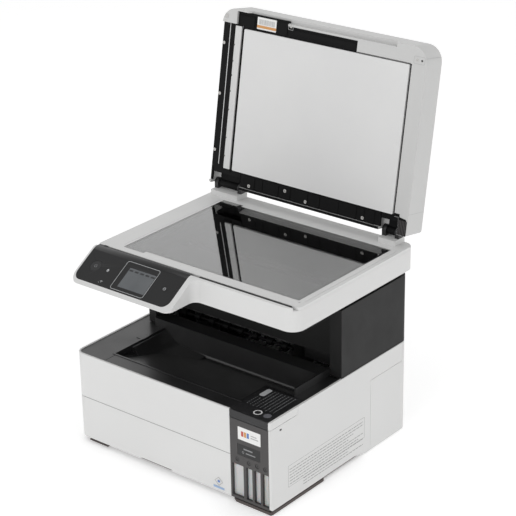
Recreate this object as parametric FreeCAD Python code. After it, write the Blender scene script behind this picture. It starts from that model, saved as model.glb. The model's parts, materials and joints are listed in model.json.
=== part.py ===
import FreeCAD, Part
import math
import os

# Flatbed inkjet multifunction printer, stored with its document lid open.
# Millimetres. X runs to the right, Y to the back, Z up, and the front faces -Y.
# Pieces are drawn about the middle of the base, then moved back_shift along Y, so that
# the origin ends at the bottom centre of the whole body with the lid standing open.

V = FreeCAD.Vector

# ---- overall sizes ----
scan_width = 375.0
base_width = 369.6
base_depth = 329.6
base_height = 147.5
shell_bottom = 7.8
housing_height = 107.2
scanner_floor_z = 261.4
scanner_height = 36.2
lid_depth = 276.0
lid_height = 41.3
lid_open_angle = 100.0
back_shift = -37.0

# ---- walls, seams and clearances ----
wall = 2.5
skin = 3.2
seam = 0.6
gap = 0.3
running = 0.05
corner_radius = 14.0
rear_corner_radius = 15.0

# ---- base zones ----
cassette_top = 75.5
ink_width = 68.7
ink_depth = 82.4
cover_split_z = 135.2
cheek_depth = 63.1
deck_thick = 4.0
deck_drop = 1.2
ledge_height = 11.2
ledge_depth = 22.5
tray_wall_inset = 22.0
recess_front = 30.6
recess_left = 53.0
recess_depth = 27.0
housing_front_y = 0.3
mouth_depth = 17.5
mouth_height = 9.0
foot_radius = 9.0
foot_thick = 2.3

# ---- paper path ----
paper_width = 210.0
paper_length = 297.0
feed_radius = 5.5
pinch_radius = 4.0
eject_radius = 5.5
pickup_radius = 15.0
gear_module = 0.75
feed_teeth = 32
pinion_teeth = 12

# ---- carriage ----
carriage_width = 90.0
carriage_depth = 54.0
carriage_height = 52.0
rail_thick = 2.0
belt_thick = 1.0
belt_width = 4.0
pulley_radius = 5.5

# ---- scanner ----
glass_thick = 2.6
frame_thick = 4.6
panel_angle = 32.0
panel_left = -184.4
panel_width = 181.9
panel_drop = 57.0
panel_corner = 12.0
crest_radius = 20.0
panel_thick = 2.0
nose_right = 6.5
nose_y = -166.5
scan_bar_width = 22.0
button_radius = 9.0

# ---- lid ----
lid_gap = 0.6
feeder_front = -84.0
feeder_back = 138.0
mat_width = 303.0
mat_depth = 220.5
mat_thick = 3.0
mat_left = -144.0
mat_back = 139.0
hinge_radius = 6.5
pin_radius = 2.5
bracket_foot = 9.4

# ---- derived places ----
base_left = -base_width / 2 + 0.3
base_right = base_width / 2 + 0.4
base_front = -base_depth / 2 + 0.2
base_back = base_depth / 2 + 0.2
scan_left = -scan_width / 2
scan_right = scan_width / 2
scan_front = -109.5
scan_back = 176.0
scan_top = scanner_floor_z + scanner_height
ink_left = base_right - skin - gap - ink_width
ink_right = base_right - skin - gap
ink_back = base_front + ink_depth
cheek_back = base_front + cheek_depth
ledge_z = base_height + ledge_height
ledge_front = housing_front_y - ledge_depth
tray_right = base_right - tray_wall_inset
housing_top = base_height + housing_height
bay_left = base_left + skin + 8.0
bay_right = ink_left - 2.0
bay_back = 128.0
lid_bottom = scan_top + lid_gap
lid_top = lid_bottom + lid_height
lid_front = scan_front
lid_back = lid_front + lid_depth
scanner_axis = (158.5, 250.5)
under_tray_back = 157.0
hinge_y = lid_back + 0.2
hinge_z = scan_top + 16.2
feed_y = 100.0
feed_z = 154.5
eject_y = 24.0
pickup_x = -32.5
crest_y = scan_front
slope = math.radians(panel_angle)


def box(x0, x1, y0, y1, z0, z1):
    """Plain block between two corners."""
    return Part.makeBox(x1 - x0, y1 - y0, z1 - z0, V(x0, y0, z0))


def rod(axis, centre, radius, start, end):
    """Cylinder along axis X, Y or Z through centre (the two other coordinates)."""
    direction = {"X": V(1, 0, 0), "Y": V(0, 1, 0), "Z": V(0, 0, 1)}[axis]
    a, b = centre
    base = {"X": V(start, a, b), "Y": V(a, start, b), "Z": V(a, b, start)}[axis]
    return Part.makeCylinder(radius, end - start, base, direction)


def tube(axis, centre, outer, inner, start, end):
    """Hollow cylinder."""
    return rod(axis, centre, outer, start, end).cut(rod(axis, centre, inner, start - 1, end + 1))


def rounded_wire(points, radii):
    """Closed wire through the points, each corner rounded by its own radius."""
    count = len(points)
    starts, ends, middles = [], [], []
    for i in range(count):
        corner = points[i]
        before = (points[i - 1] - corner).normalize()
        after = (points[(i + 1) % count] - corner).normalize()
        radius = radii[i]
        half = before.getAngle(after) / 2
        reach = radius / math.tan(half) if radius else 0.0
        starts.append(corner + before * reach)
        ends.append(corner + after * reach)
        inward = before + after
        if radius:
            inward.normalize()
            middles.append(corner + inward * (radius / math.sin(half) - radius))
        else:
            middles.append(corner)
    edges = []
    for i in range(count):
        if radii[i]:
            edges.append(Part.Arc(starts[i], middles[i], ends[i]).toShape())
        following = starts[(i + 1) % count]
        if ends[i].distanceToPoint(following) > 1e-6:
            edges.append(Part.LineSegment(ends[i], following).toShape())
    return Part.Wire(edges)


def as_list(radii, count):
    """One radius for every corner, or the list as it is."""
    return list(radii) if isinstance(radii, (list, tuple)) else [radii] * count


def plan(outline, radii, z0, z1):
    """Prism of an outline seen from above."""
    wire = rounded_wire([V(x, y, z0) for x, y in outline], as_list(radii, len(outline)))
    return Part.Face(wire).extrude(V(0, 0, z1 - z0))


def profile(outline, radii, x0, x1):
    """Prism of a Y-Z outline, drawn along X."""
    wire = rounded_wire([V(x0, y, z) for y, z in outline], as_list(radii, len(outline)))
    return Part.Face(wire).extrude(V(x1 - x0, 0, 0))


def elevation(outline, radii, y0, y1):
    """Prism of an X-Z outline, drawn along Y."""
    wire = rounded_wire([V(x, y0, z) for x, z in outline], as_list(radii, len(outline)))
    return Part.Face(wire).extrude(V(0, y1 - y0, 0))


def rectangle(x0, x1, y0, y1):
    """Corners of a rectangle: front left, front right, back right, back left."""
    return [(x0, y0), (x1, y0), (x1, y1), (x0, y1)]


def slab(x0, x1, y0, y1, z0, z1, radii):
    """Block with rounded vertical corners."""
    return plan(rectangle(x0, x1, y0, y1), radii, z0, z1)


def fuse(*shapes):
    """One solid from touching shapes."""
    return shapes[0].multiFuse(list(shapes[1:])).removeSplitter()


def cut(shape, *tools):
    """Shape with every tool taken away."""
    for tool in tools:
        shape = shape.cut(tool)
    return shape


def group(*shapes):
    """Separate solids kept in one node."""
    return Part.makeCompound(list(shapes))


def save(name, shape, lid=False):
    """Write one node, with lid pieces swung up about the lid hinge."""
    placed = shape.copy()
    if lid:
        placed.rotate(V(0, hinge_y, hinge_z), V(1, 0, 0), -lid_open_angle)
    placed.translate(V(0, back_shift, 0))
    placed.exportStep("parts/" + name + ".step")


# ---------------------------------------------------------------- base shell

def wrapped_front(x1, z0, z1):
    """Front wall that turns the left front corner, up to x1."""
    outline = rectangle(base_left, base_right, base_front, base_back)
    outer = plan(outline, [corner_radius, 1, 1, 1], z0, z1)
    inset = rectangle(base_left + skin, base_right - skin, base_front + skin, base_back - skin)
    shell = outer.cut(plan(inset, [corner_radius - skin, 1, 1, 1], z0 - 1, z1 + 1))
    return shell.common(box(base_left - 1, x1, base_front - 1, base_front + corner_radius, z0, z1))


def front_cover():
    shell = wrapped_front(ink_left - gap, cassette_top + seam, base_height)
    rib_z = cassette_top + 8
    rib = box(base_left + corner_radius + 4, ink_left - 8, base_front + skin - 0.2,
              base_front + skin + 5, rib_z, rib_z + 2)
    return fuse(shell, rib)


def cassette_front():
    shell = wrapped_front(ink_left - gap, shell_bottom, cassette_top)
    left, right = base_left - 1, ink_left + 1
    corners = [(left + 1, shell_bottom), (right, shell_bottom), (right, cassette_top), (left + 1, cassette_top)]
    rounded = elevation(corners, [9, 0, 0, 0], base_front - 1, base_front + corner_radius)
    grip = box(-60, 0, base_front - 1, base_front + skin + 1, shell_bottom - 1, shell_bottom + 2.2)
    tab = box(-92, -84, base_front - 0.25, base_front + 1, shell_bottom + 0.5, shell_bottom + 3)
    return fuse(shell.common(rounded).cut(grip), tab)


def side_outline(front, split_front):
    """Y-Z outline of a side cover, with its low edge stepping down to the rear."""
    bottom_steps = [(front, shell_bottom), (30, shell_bottom), (60, 1), (69.7, 1)]
    rear_steps = [(69.7, 117.3), (base_back - rear_corner_radius - gap, 117.3),
                  (base_back - rear_corner_radius - gap, base_height)]
    if split_front:
        top = [(cheek_back + gap, base_height), (cheek_back + gap, cover_split_z), (front, cover_split_z)]
    else:
        top = [(front, base_height)]
    return bottom_steps + rear_steps + top


def left_side_cover():
    front = base_front + corner_radius + gap
    panel = profile(side_outline(front, False), 0, base_left, base_left + skin)
    rib = box(base_left + skin - 0.2, base_left + skin + 4, front + 6, 60, 100, 102)
    return fuse(panel, rib)


def right_side_cover():
    radii = [4, 0, 0, 0, 0, 0, 0, 0, 5, 0]
    panel = profile(side_outline(base_front, True), radii, base_right - skin, base_right)
    edge = plan([(base_right - 8, base_front - 1), (base_right + 1, base_front - 1),
                 (base_right + 1, base_back), (base_right - 8, base_back)], 0, 0, base_height)
    keep = plan([(base_right - 8, base_front), (base_right, base_front),
                 (base_right, base_back + 5), (base_right - 8, base_back + 5)], [0, 3, 0, 0], 0, base_height)
    notch = box(base_right - 0.8, base_right + 1, base_front + 21, base_front + 26, 126.5, 129.5)
    return cut(panel, edge.cut(keep), notch)


def rear_panel():
    arm_front, arm_top = 70.3, 116.7
    outline = rectangle(base_left, base_right, 0, base_back)
    radii = [1, 1, rear_corner_radius, rear_corner_radius]
    inset = rectangle(base_left + skin, base_right - skin, -20, base_back - skin)
    inner_radii = [1, 1, rear_corner_radius - skin, rear_corner_radius - skin]
    shell = plan(outline, radii, 1, base_height).cut(plan(inset, inner_radii, 0, base_height + 1))
    low = box(base_left - 1, base_right + 1, arm_front, base_back + 1, 1, arm_top)
    high = box(base_left - 1, base_right + 1, base_back - rear_corner_radius, base_back + 1,
               arm_top - 1, base_height)
    shell = shell.common(fuse(low, high))
    door = rear_door_box(gap)
    inlet = box(*inlet_span(gap), base_back - 8, base_back + 1, *inlet_rise(gap))
    ports = box(*port_span(gap), base_back - 8, base_back + 1, *port_rise(gap))
    return cut(shell, door, inlet, ports)


def rear_door_box(extra):
    """Outline of the rear access cover, grown by extra."""
    return slab(-120 - extra, 95 + extra, base_back - 40, base_back + 2, 44 - extra, 110 + extra, 0)


def rear_cover():
    """Access cover with a ribbed sheet guide that stays above the cassette."""
    face = box(-120, 95, base_back - skin, base_back, 44, 110)
    guide_z = cassette_top - 8
    guide = box(-110, 85, base_back - 34, base_back - skin, guide_z, guide_z + 2)
    ribs = [box(x, x + 2, base_back - 30, base_back - skin, guide_z + 1.9, guide_z + 20)
            for x in range(-100, 85, 30)]
    latch_left = box(-116, -104, base_back - 0.2, base_back + 1.2, 70, 84)
    latch_right = box(79, 91, base_back - 0.2, base_back + 1.2, 70, 84)
    return fuse(face, guide, *ribs, latch_left, latch_right)


def inlet_span(extra):
    return -160 - extra, -134 + extra


def inlet_rise(extra):
    return 18 - extra, 36 + extra


def port_span(extra):
    return ink_left + 5 - extra, ink_left + 41 + extra


def port_rise(extra):
    return 20 - extra, 38 + extra


def chassis():
    floor = slab(base_left + skin + gap, base_right - skin - gap, -157, base_back - skin - gap, 3, 5.5,
                 [0, 0, rear_corner_radius - skin, rear_corner_radius - skin])
    left = box(bay_left - 2.5, bay_left, -150, bay_back, 5.4, 74)
    right = box(bay_right, bay_right + 2, -157, bay_back, 5.4, 74)
    deck = box(bay_left - 2.5, bay_right + 2, -140, bay_back, 73.8, 76)
    runner_left = box(bay_left - 0.1, bay_left + 12, -150, bay_back, 5.4, 7.7)
    runner_right = box(bay_right - 12, bay_right + 0.1, -150, bay_back, 5.4, 7.7)
    skirt = box(150, base_right - 0.6, base_front + 4, -43, 0.6, 5.5)
    front_strip = box(-165, -128, base_front + 0.6, -156.9, 3.6, 5.5)
    ink_strip = elevation([(121, 0.8), (base_right - 1.2, 0.8), (base_right - 1.2, 5.5), (117, 5.5)],
                          0, base_front + 0.8, -156.9)
    pads = [rod("Z", at, foot_radius + 3, 1.2, 3.1) for at in foot_places()]
    hangers = [box(pickup_x + s * 30 - 2, pickup_x + s * 30 + 2, 54, 66, 42, 74) for s in (-1, 1)]
    post_left = box(base_left + 6.5, base_left + 9.5, 60, 96, 75.8, 162)
    post_right = box(base_right - 13.2, base_right - 10.2, 60, 96, 5.4, 128)
    body = fuse(floor, left, right, deck, runner_left, runner_right, skirt, front_strip, ink_strip,
                *pads, *hangers, post_left, post_right)
    axle_hole = rod("X", (60, 48), 3 + running, pickup_x - 40, pickup_x + 40)
    shaft_hole = rod("X", (feed_y, feed_z), 3.5, base_left, base_left + 14.5)
    recess = [rod("Z", at, foot_radius + running, 0, foot_thick + 0.1) for at in foot_places()]
    slot = box(pickup_x - 20, pickup_x + 20, 42, 78, 70, 80)
    return cut(body, axle_hole, shaft_hole, slot, *recess)


def foot_places():
    return [(-150, -142), (162, -140), (-150, 138), (150, 138)]


def feet():
    pads = []
    for at in foot_places():
        pad = rod("Z", at, foot_radius, 0, foot_thick)
        pads.append(pad.makeFillet(0.5, [e for e in pad.Edges if e.BoundBox.ZMax < 0.1]))
    return group(*pads)


# ---------------------------------------------------------------- output tray

def tray_outline(extra):
    """Plan of the deck inside the rims, clear of the ink cover."""
    left = base_left + skin + extra
    right = base_right - skin - extra
    front = base_front + skin + extra
    return [(left, front), (ink_left - extra - 1, front), (ink_left - extra - 1, ink_back + extra + 1),
            (right, ink_back + extra + 1), (right, housing_front_y - gap), (left, housing_front_y - gap)]


def output_tray():
    recess_x0 = base_left + recess_left
    recess_y0 = base_front + recess_front
    deck = plan(tray_outline(0.2), [corner_radius - skin - 0.2, 0, 0, 0, 0, 0],
                base_height - deck_thick, base_height - deck_drop)
    raised = box(-150, tray_right, ledge_front - 3, housing_front_y - gap, base_height - 20, ledge_z)
    side = box(tray_right - 3, tray_right, ink_back + 3, housing_front_y - gap, base_height - 2, ledge_z)
    tub_outline = [(recess_y0 - 3, base_height - 0.5), (recess_y0 - 3, base_height - 10),
                   (ledge_front, base_height - recess_depth - 3), (ledge_front + 3, base_height - recess_depth - 3),
                   (ledge_front + 3, base_height - 0.5)]
    tub = profile(tub_outline, 0, recess_x0 - 3, ink_left - 1.2)
    tub_right = profile(tub_outline, 0, ink_left - 3, tray_right)
    tub_right = tub_right.common(box(0, 200, ink_back + 1.2, 50, 0, 200))
    hollow_outline = [(recess_y0, base_height + 30), (recess_y0, base_height - 7),
                      (ledge_front - 3, base_height - recess_depth), (ledge_front - 3, base_height + 30)]
    hollow = profile(hollow_outline, [0, 4, 4, 0], recess_x0, ink_left - 4.2)
    hollow_right = profile(hollow_outline, [0, 4, 4, 0], ink_left - 6, tray_right - 3)
    hollow_right = hollow_right.common(box(0, 200, ink_back + 4.2, 50, 0, 200))
    ledge_clear = box(-147, tray_right - 3, ledge_front, housing_front_y, base_height - 21, ledge_z - 3)
    body = cut(fuse(deck, raised, side, tub, tub_right), hollow, hollow_right, ledge_clear)
    return fuse(body, paper_ramp(recess_x0, recess_y0), deck_tab(recess_x0))


def paper_ramp(x0, y0):
    """Low curved guide on the left of the recess floor."""
    outline = [(x0 - 1, base_height - 24), (x0 + 82, base_height - 24), (x0 + 24, base_height - 19),
               (x0 + 5, base_height - 3), (x0 - 1, base_height - 3)]
    ramp = elevation(outline, [0, 0, 24, 3, 0], y0 + 34, ledge_front - 1)
    under = profile([(y0, base_height - 9), (ledge_front, base_height - recess_depth - 2),
                     (ledge_front, base_height - 60), (y0, base_height - 60)], 0, x0 - 2, x0 + 100)
    return ramp.cut(under)


def deck_tab(x0):
    top = base_height - deck_drop
    return box(x0 - 12, x0 + 1, -75, -60, top - 1, top + 0.6)


# ---------------------------------------------------------------- engine housing

def engine_housing():
    left, right = base_left + 1.2, base_right - 1.2
    back = base_back - 0.6
    z0 = base_height + 0.1
    radii = [1.5, 1.5, 12, 12]
    outer = slab(left, right, housing_front_y, back, z0, housing_top, radii)
    inner = slab(left + wall, right - wall, -30, back - wall, z0 - 1, housing_top - wall,
                 [0.5, 0.5, 12 - wall, 12 - wall])
    shell = outer.cut(inner)
    cheek_left = box(left, left + 32, housing_front_y, housing_front_y + wall, z0, housing_top)
    cheek_right = box(tray_right, right, housing_front_y, housing_front_y + wall, z0, housing_top)
    web_left = box(left + 30, left + 32, housing_front_y, mouth_depth + wall, z0, housing_top)
    web_right = box(tray_right, tray_right + 2, housing_front_y, mouth_depth + wall, z0, housing_top)
    brow = box(left + 30, tray_right + 2, mouth_depth, mouth_depth + wall,
               ledge_z + mouth_height, housing_top)
    roof_lip = box(left + 30, tray_right + 2, mouth_depth - 12, mouth_depth + 1, housing_top - 3, housing_top)
    arm = box(left + 18, left + 32, -21, housing_front_y + 1, z0, housing_top)
    keep = [cheek_left, cheek_right, web_left, web_right, brow, roof_lip, arm]
    open_front = box(left + 32, tray_right, -1, mouth_depth - 12, z0 - 1, housing_top + 1)
    shell = fuse(shell.cut(open_front), *keep)
    cuts = [box(x - 4.5, x + 4.5, scanner_axis[0] - 9, back + 1, scanner_axis[1] - 9, housing_top + 1)
            for x in scanner_hinge_places()]
    vents = [box(left - 1, left + wall + 1, 60 + 8 * i, 63 + 8 * i, 180, 215) for i in range(9)]
    return fuse(cut(shell, *cuts, *vents), *scanner_hinge_pins())


def scanner_hinge_places():
    return [-150, 150]


def scanner_hinge_pins():
    """Pins on which the scanner unit swings, each between two ears."""
    solids = []
    y, z = scanner_axis
    for x in scanner_hinge_places():
        ears = [box(x + s * 7 - 2.2, x + s * 7 + 2.2, y - 6, base_back - 2, z - 8, housing_top - wall + 0.1)
                for s in (-1, 1)]
        pin = rod("X", scanner_axis, 3, x - 9, x + 9)
        solids.append(fuse(*ears, pin))
    return solids


# ---------------------------------------------------------------- ink unit

def tank_spans():
    """X span of each tank, from the wide black one to the three colours."""
    first = ink_left + 2
    spans = [(first, first + 22)]
    for i in range(3):
        start = first + 25.2 + 14.6 * i
        spans.append((start, start + 12.6))
    return spans


def ink_bezel():
    plate = box(ink_left, ink_right, base_front, base_front + 4, shell_bottom, cover_split_z)
    windows = []
    for x0, x1 in tank_spans():
        windows.append(elevation([(x0 + 0.8, 12), (x1 - 0.8, 12), (x1 - 0.8, 63.5), (x0 + 0.8, 63.5)], 1.2,
                                 base_front - 1, base_front + 5))
    marks = [rod("Y", ((x0 + x1) / 2, 72), 3.6, base_front - 1, base_front + 0.5) for x0, x1 in tank_spans()]
    label = box(ink_left + 13, ink_left + 54, base_front - 1, base_front + 0.4, 80, 98)
    return cut(plate, label, *windows, *marks)


def ink_tank(x0, x1):
    """Tank with its filler neck, open to the inside."""
    y0, y1, z0, z1 = base_front + 4.3, ink_back - 3, 9.5, 112
    outer = slab(x0, x1, y0, y1, z0, z1, 1.5)
    inner = slab(x0 + 1.6, x1 - 1.6, y0 + 1.6, y1 - 1.6, z0 + 2, z1 - 2, 0.8)
    neck_x, neck_y = (x0 + x1) / 2, base_front + 34
    neck = rod("Z", (neck_x, neck_y), neck_radius(x0, x1), z1 - 0.5, z1 + 10)
    bore = rod("Z", (neck_x, neck_y), neck_radius(x0, x1) - 1.4, z1 - 3, z1 + 11)
    return cut(fuse(outer, neck), inner, bore)


def neck_radius(x0, x1):
    return (x1 - x0) / 2 - 2.4 if x1 - x0 < 18 else 6.5


def tank_caps():
    """Stopper caps, one on each filler neck."""
    caps = []
    for x0, x1 in tank_spans():
        at = ((x0 + x1) / 2, base_front + 34)
        radius = neck_radius(x0, x1)
        lid = rod("Z", at, radius + 1.2, 122.1, 126)
        lid = lid.makeFillet(1.0, [e for e in lid.Edges if e.BoundBox.ZMin > 125.9])
        plug = rod("Z", at, radius - 1.4 - gap, 116, 122.2)
        caps.append(fuse(lid, plug))
    return group(*caps)


def ink_tubes():
    """Feed tubes from the tanks to the clamp beside the carriage's parking place."""
    tubes = []
    for i, (x0, x1) in enumerate(tank_spans()):
        x, z = (x0 + x1) / 2, 16 + 2 * i
        rise_y = 20 + 6 * i
        start = V(x, ink_back - 3, z)
        corner_a = V(x, rise_y - 8, z)
        bend = V(x, rise_y - 8 + 8 * math.sin(math.pi / 4), z + 8 - 8 * math.cos(math.pi / 4))
        corner_b = V(x, rise_y, z + 8)
        end = V(x, rise_y, 118)
        path = Part.Wire([Part.LineSegment(start, corner_a).toShape(),
                          Part.Arc(corner_a, bend, corner_b).toShape(),
                          Part.LineSegment(corner_b, end).toShape()])
        ring = Part.Wire(Part.Circle(start, V(0, 1, 0), 1.8).toShape())
        tubes.append(path.makePipeShell([ring], True, False))
    clamp = box(ink_left + 4, ink_left + 66, 14, 44, 118.1, 124)
    return group(*tubes, clamp)


def ink_cover():
    z_top = base_height
    hinge = (ink_back - 2.2, z_top - 2.2)
    x0, x1 = ink_left, ink_right
    plate = box(x0, x1, base_front, hinge[0], z_top - 2.6, z_top)
    barrel = rod("X", hinge, 2.2, x0, x1)
    face = box(x0, x1, base_front, base_front + 2.6, cover_split_z + seam, z_top)
    left = box(x0, x0 + 2.2, base_front, ink_back - 14, cover_split_z + seam, z_top)
    right = box(x1 - 2.2, x1, base_front, cheek_back - 2, cover_split_z + seam, z_top)
    body = fuse(plate, barrel, face, left, right)
    rims = [e for e in body.Edges if e.BoundBox.ZMin > z_top - 0.01 and e.BoundBox.YMax < base_front + 0.01]
    return body.makeFillet(0.8, rims)


def ink_cover_cheek():
    block = box(ink_right, base_right, base_front, cheek_back, cover_split_z + seam, base_height)
    outline = rectangle(ink_right - 5, base_right, base_front, cheek_back)
    keep = plan(outline, [0, 3, 0, 0], 0, 200)
    side = [(base_front, cover_split_z + seam), (cheek_back, cover_split_z + seam), (cheek_back, base_height),
            (base_front, base_height)]
    return block.common(keep).common(profile(side, [0, 5, 0, 1.5], ink_right - 1, base_right + 1))


# ---------------------------------------------------------------- cassette

def cassette_span():
    return bay_left + 1.0, bay_right - 1.0


def cassette_tray():
    x0, x1 = cassette_span()
    y0 = base_front + skin + gap
    y1 = y0 + paper_length + 7.5
    body = box(x0, x1, y0, y1, 8, 55)
    hollow = box(x0 + wall, x1 - wall, y0 + wall, y1 - wall, 10, 60)
    low_rear = box(x0 + 40, x1 - 40, y1 - wall - 1, y1 + 1, 30, 60)
    grooves = [box(pickup_x - 90, pickup_x + 90, y - 2, y + 2, 9.4, 11) for y in (-70, 0)]
    track = box(pickup_x - 6, pickup_x + 6, -20, y1 - 20, 9.4, 11)
    return cut(body, hollow, low_rear, track, *grooves)


def side_guide(side):
    """Paper width guide: upright fence with a foot that slides over the tray floor."""
    fence_x = pickup_x + side * (paper_width / 2 + gap)
    outer_x = fence_x + side * 2
    x0, x1 = min(fence_x, outer_x), max(fence_x, outer_x)
    fence = box(x0, x1, -80, 20, 10.3, 40)
    inner_x = fence_x - side * 24
    foot = box(min(inner_x, outer_x), max(inner_x, outer_x), -50, -20, 10.3, 11.6)
    rib_x = outer_x + side * 8
    rib = box(min(rib_x, outer_x), max(rib_x, outer_x), -40, -30, 10.3, 30)
    return fuse(fence, foot, rib)


def length_guide():
    y0 = base_front + skin + wall + paper_length + 1.0
    fence = box(pickup_x - 22, pickup_x + 22, y0, y0 + 1.2, 10.3, 28)
    foot = box(pickup_x - 14, pickup_x + 14, y0 - 30, y0 + 1.2, 10.3, 11.6)
    return fuse(fence, foot)


def pickup_roller():
    axle = rod("X", (60, 48), 3, pickup_x - 36, pickup_x + 36)
    tyre = rod("X", (60, 48), pickup_radius, pickup_x - 14, pickup_x + 14)
    grooves = [tube("X", (60, 48), pickup_radius + 1, pickup_radius - 0.8, x - 0.6, x + 0.6)
               for x in [pickup_x - 9 + 6 * i for i in range(4)]]
    return fuse(axle, cut(tyre, *grooves))


# ---------------------------------------------------------------- print engine

def gear(teeth, centre, x0, x1, phase):
    """Spur gear about an X axis, with a tooth or gap turned by phase."""
    pitch_radius = teeth * gear_module / 2
    step = 2 * math.pi / teeth
    points = []
    for i in range(teeth):
        middle = i * step + phase
        for radius, share in ((-1.25, -0.30), (0.8, -0.13), (0.8, 0.13), (-1.25, 0.30)):
            angle = middle + share * step
            reach = pitch_radius + radius * gear_module
            points.append(V(x0, centre[0] + reach * math.cos(angle), centre[1] + reach * math.sin(angle)))
    wire = Part.makePolygon(points + [points[0]])
    return Part.Face(wire).extrude(V(x1 - x0, 0, 0))


def mesh_distance():
    return gear_module * (feed_teeth + pinion_teeth) / 2 + 0.15


def feed_roller():
    shaft = rod("X", (feed_y, feed_z), 3, base_left + 4, 78)
    sleeve = rod("X", (feed_y, feed_z), feed_radius, -150, 70)
    half_tooth = math.pi / feed_teeth
    wheel = gear(feed_teeth, (feed_y, feed_z), -170, -165, -math.pi / 2 + half_tooth)
    return group(fuse(shaft, sleeve, wheel))


def motor_pinion():
    centre = (feed_y, feed_z - mesh_distance())
    wheel = gear(pinion_teeth, centre, -170, -165, math.pi / 2)
    return wheel.cut(rod("X", centre, 1.5 + running, -171, -160))


def feed_motor():
    centre = (feed_y, feed_z - mesh_distance())
    can = rod("X", centre, 10.5, -160, -130)
    flange = box(-161.5, -160, feed_y - 15, feed_y + 15, centre[1] - 13, centre[1] + 13)
    stem = rod("X", centre, 1.5, -171, -131)
    return fuse(can, flange, stem)


def pinch_rollers():
    z = feed_z + feed_radius + gap + pinch_radius
    axle = rod("X", (feed_y, z), 1.2, -146, 66)
    wheels = [rod("X", (feed_y, z), pinch_radius, x, x + 22) for x in range(-140, 60, 34)]
    return fuse(axle, *wheels)


def eject_roller():
    z = feed_z + feed_radius - eject_radius
    shaft = rod("X", (eject_y, z), 2.5, -150.5, 78)
    wheels = [rod("X", (eject_y, z), eject_radius, x, x + 9) for x in range(-136, 66, 28)]
    return fuse(shaft, *wheels)


def platen():
    """Slotted support under the sheet, on two legs that stand on the chassis deck."""
    top = feed_z + feed_radius - 1
    plate = box(-150, 70, 34, 92, top - 4, top - 1)
    ribs = [box(x, x + 1.6, 36, 90, top - 1.1, top) for x in range(-140, 68, 13)]
    trough = box(-146, 66, 52, 74, top - 2.2, top + 1)
    legs = [box(x, x + 3, 36, 90, 76, top - 3.9) for x in (-122, 62)]
    return fuse(cut(fuse(plate, *ribs), trough), *legs)


def carriage_place():
    """Parked place of the carriage, at the right."""
    return 68.0, 68.0 + carriage_width, 44.0, 44.0 + carriage_depth


def print_carriage():
    x0, x1, y0, y1 = carriage_place()
    z0 = 170.0
    z1 = z0 + carriage_height
    body = profile([(y0, z0), (y1, z0), (y1, z1), (y0 + 14, z1), (y0, z1 - 16)], [2, 2, 2, 4, 4], x0, x1)
    dampers = [box(x0 + 8 + 19 * i, x0 + 23 + 19 * i, y0 + 20, y1 - 6, z1 - 0.2, z1 + 4) for i in range(4)]
    rail_y = rail_front()
    arm = box(x0 + 10, x1 - 10, y1 - 0.5, rail_y + rail_thick + 4, rail_top() + 0.5, rail_top() + 3.5)
    neck = box(x0 + 10, x1 - 10, y1 - 10, y1 - 0.5, z1 - 1, rail_top() + 3.5)
    lip = box(x0 + 10, x1 - 10, rail_y + rail_thick + 0.4, rail_y + rail_thick + 4,
              rail_top() - 8, rail_top() + 0.6)
    head = box(x0 + 15, x1 - 15, y0 + 12, y0 + 40, 162.5, z0 + 0.2)
    return fuse(body, *dampers, arm, neck, lip, head)


def rail_front():
    return carriage_place()[3] + 8.5


def rail_top():
    return 226.0


def carriage_rail():
    y = rail_front()
    plate = box(-176, 176, y, y + rail_thick, 169, rail_top())
    foot = box(-176, 176, y, y + 16, 169, 171)
    shaft_clear = rod("Y", (162, 202), 4, y - 5, y + 20)
    holes = [rod("Y", (x, 184), 5, y - 1, y + 5) for x in range(-130, 131, 52)]
    return group(cut(fuse(plate, foot), shaft_clear, *holes), encoder_strip())


def belt_loop(half_length, centre, radius, y0, y1):
    """Flat belt round two pulleys on Y axes."""
    x, z = centre
    outlines = []
    for r in (radius + belt_thick, radius):
        outlines.append(elevation([(x - half_length - r, z - r), (x + half_length + r, z - r),
                                   (x + half_length + r, z + r), (x - half_length - r, z + r)],
                                  r - 0.01, y0, y1))
    return outlines[0].cut(outlines[1])


def belt_front():
    return carriage_place()[3] + 1.8


def carriage_belt():
    y = belt_front()
    loop = belt_loop(162, (0, 202), pulley_radius + 0.05, y, y + belt_width)
    idler = tube("Y", (-162, 202), pulley_radius, 1.5, y - 0.3, y + belt_width + 0.3)
    pin = rod("Y", (-162, 202), 1.45, y - 1, rail_front())
    return group(loop, idler, pin)


def carriage_motor():
    y = belt_front()
    back = rail_front() + rail_thick
    can = rod("Y", (162, 202), 13, back + 1.5, back + 34)
    flange = box(147, 177, back, back + 1.6, 187, 217)
    stem = rod("Y", (162, 202), 1.5, y - 1, back + 3)
    pulley = rod("Y", (162, 202), pulley_radius, y - 0.3, y + belt_width + 0.3)
    return fuse(can, flange, stem, pulley)


def encoder_strip():
    y = belt_front() + belt_width + 1.6
    return box(-170, 146, y, y + 0.3, 214, 221)


def maintenance_station():
    """Capping cup under the parked head, and the waste ink box that it drains to."""
    body = box(82, 156, 46, 96, 134, 154)
    cup = slab(88, 150, 54, 86, 153.8, 161.5, 3).cut(slab(90, 148, 56, 84, 156, 163, 2))
    x0 = ink_left + 1
    waste_box = fuse(box(x0, x0 + 54, -58, 8, 70, 108), box(x0 + 4, x0 + 46, -50, 2, 107.8, 110))
    return group(fuse(body, cup), waste_box)


def main_board():
    plate = box(ink_left + 2, ink_left + 63, 156.3, 157.9, 14, 70)
    chips = [box(x, x + 12, 154.8, 156.4, z, z + 12) for x, z in ((ink_left + 12, 48), (ink_left + 33, 50))]
    shells = []
    for x0, z0, w, h in ((ink_left + 8, 23, 12, 11), (ink_left + 25, 22, 14, 13)):
        outer = box(x0, x0 + w, 157.8, base_back - 0.4, z0, z0 + h)
        shells.append(outer.cut(box(x0 + 1, x0 + w - 1, 159.5, base_back + 1, z0 + 1, z0 + h - 1)))
    return fuse(plate, *chips, *shells)


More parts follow.
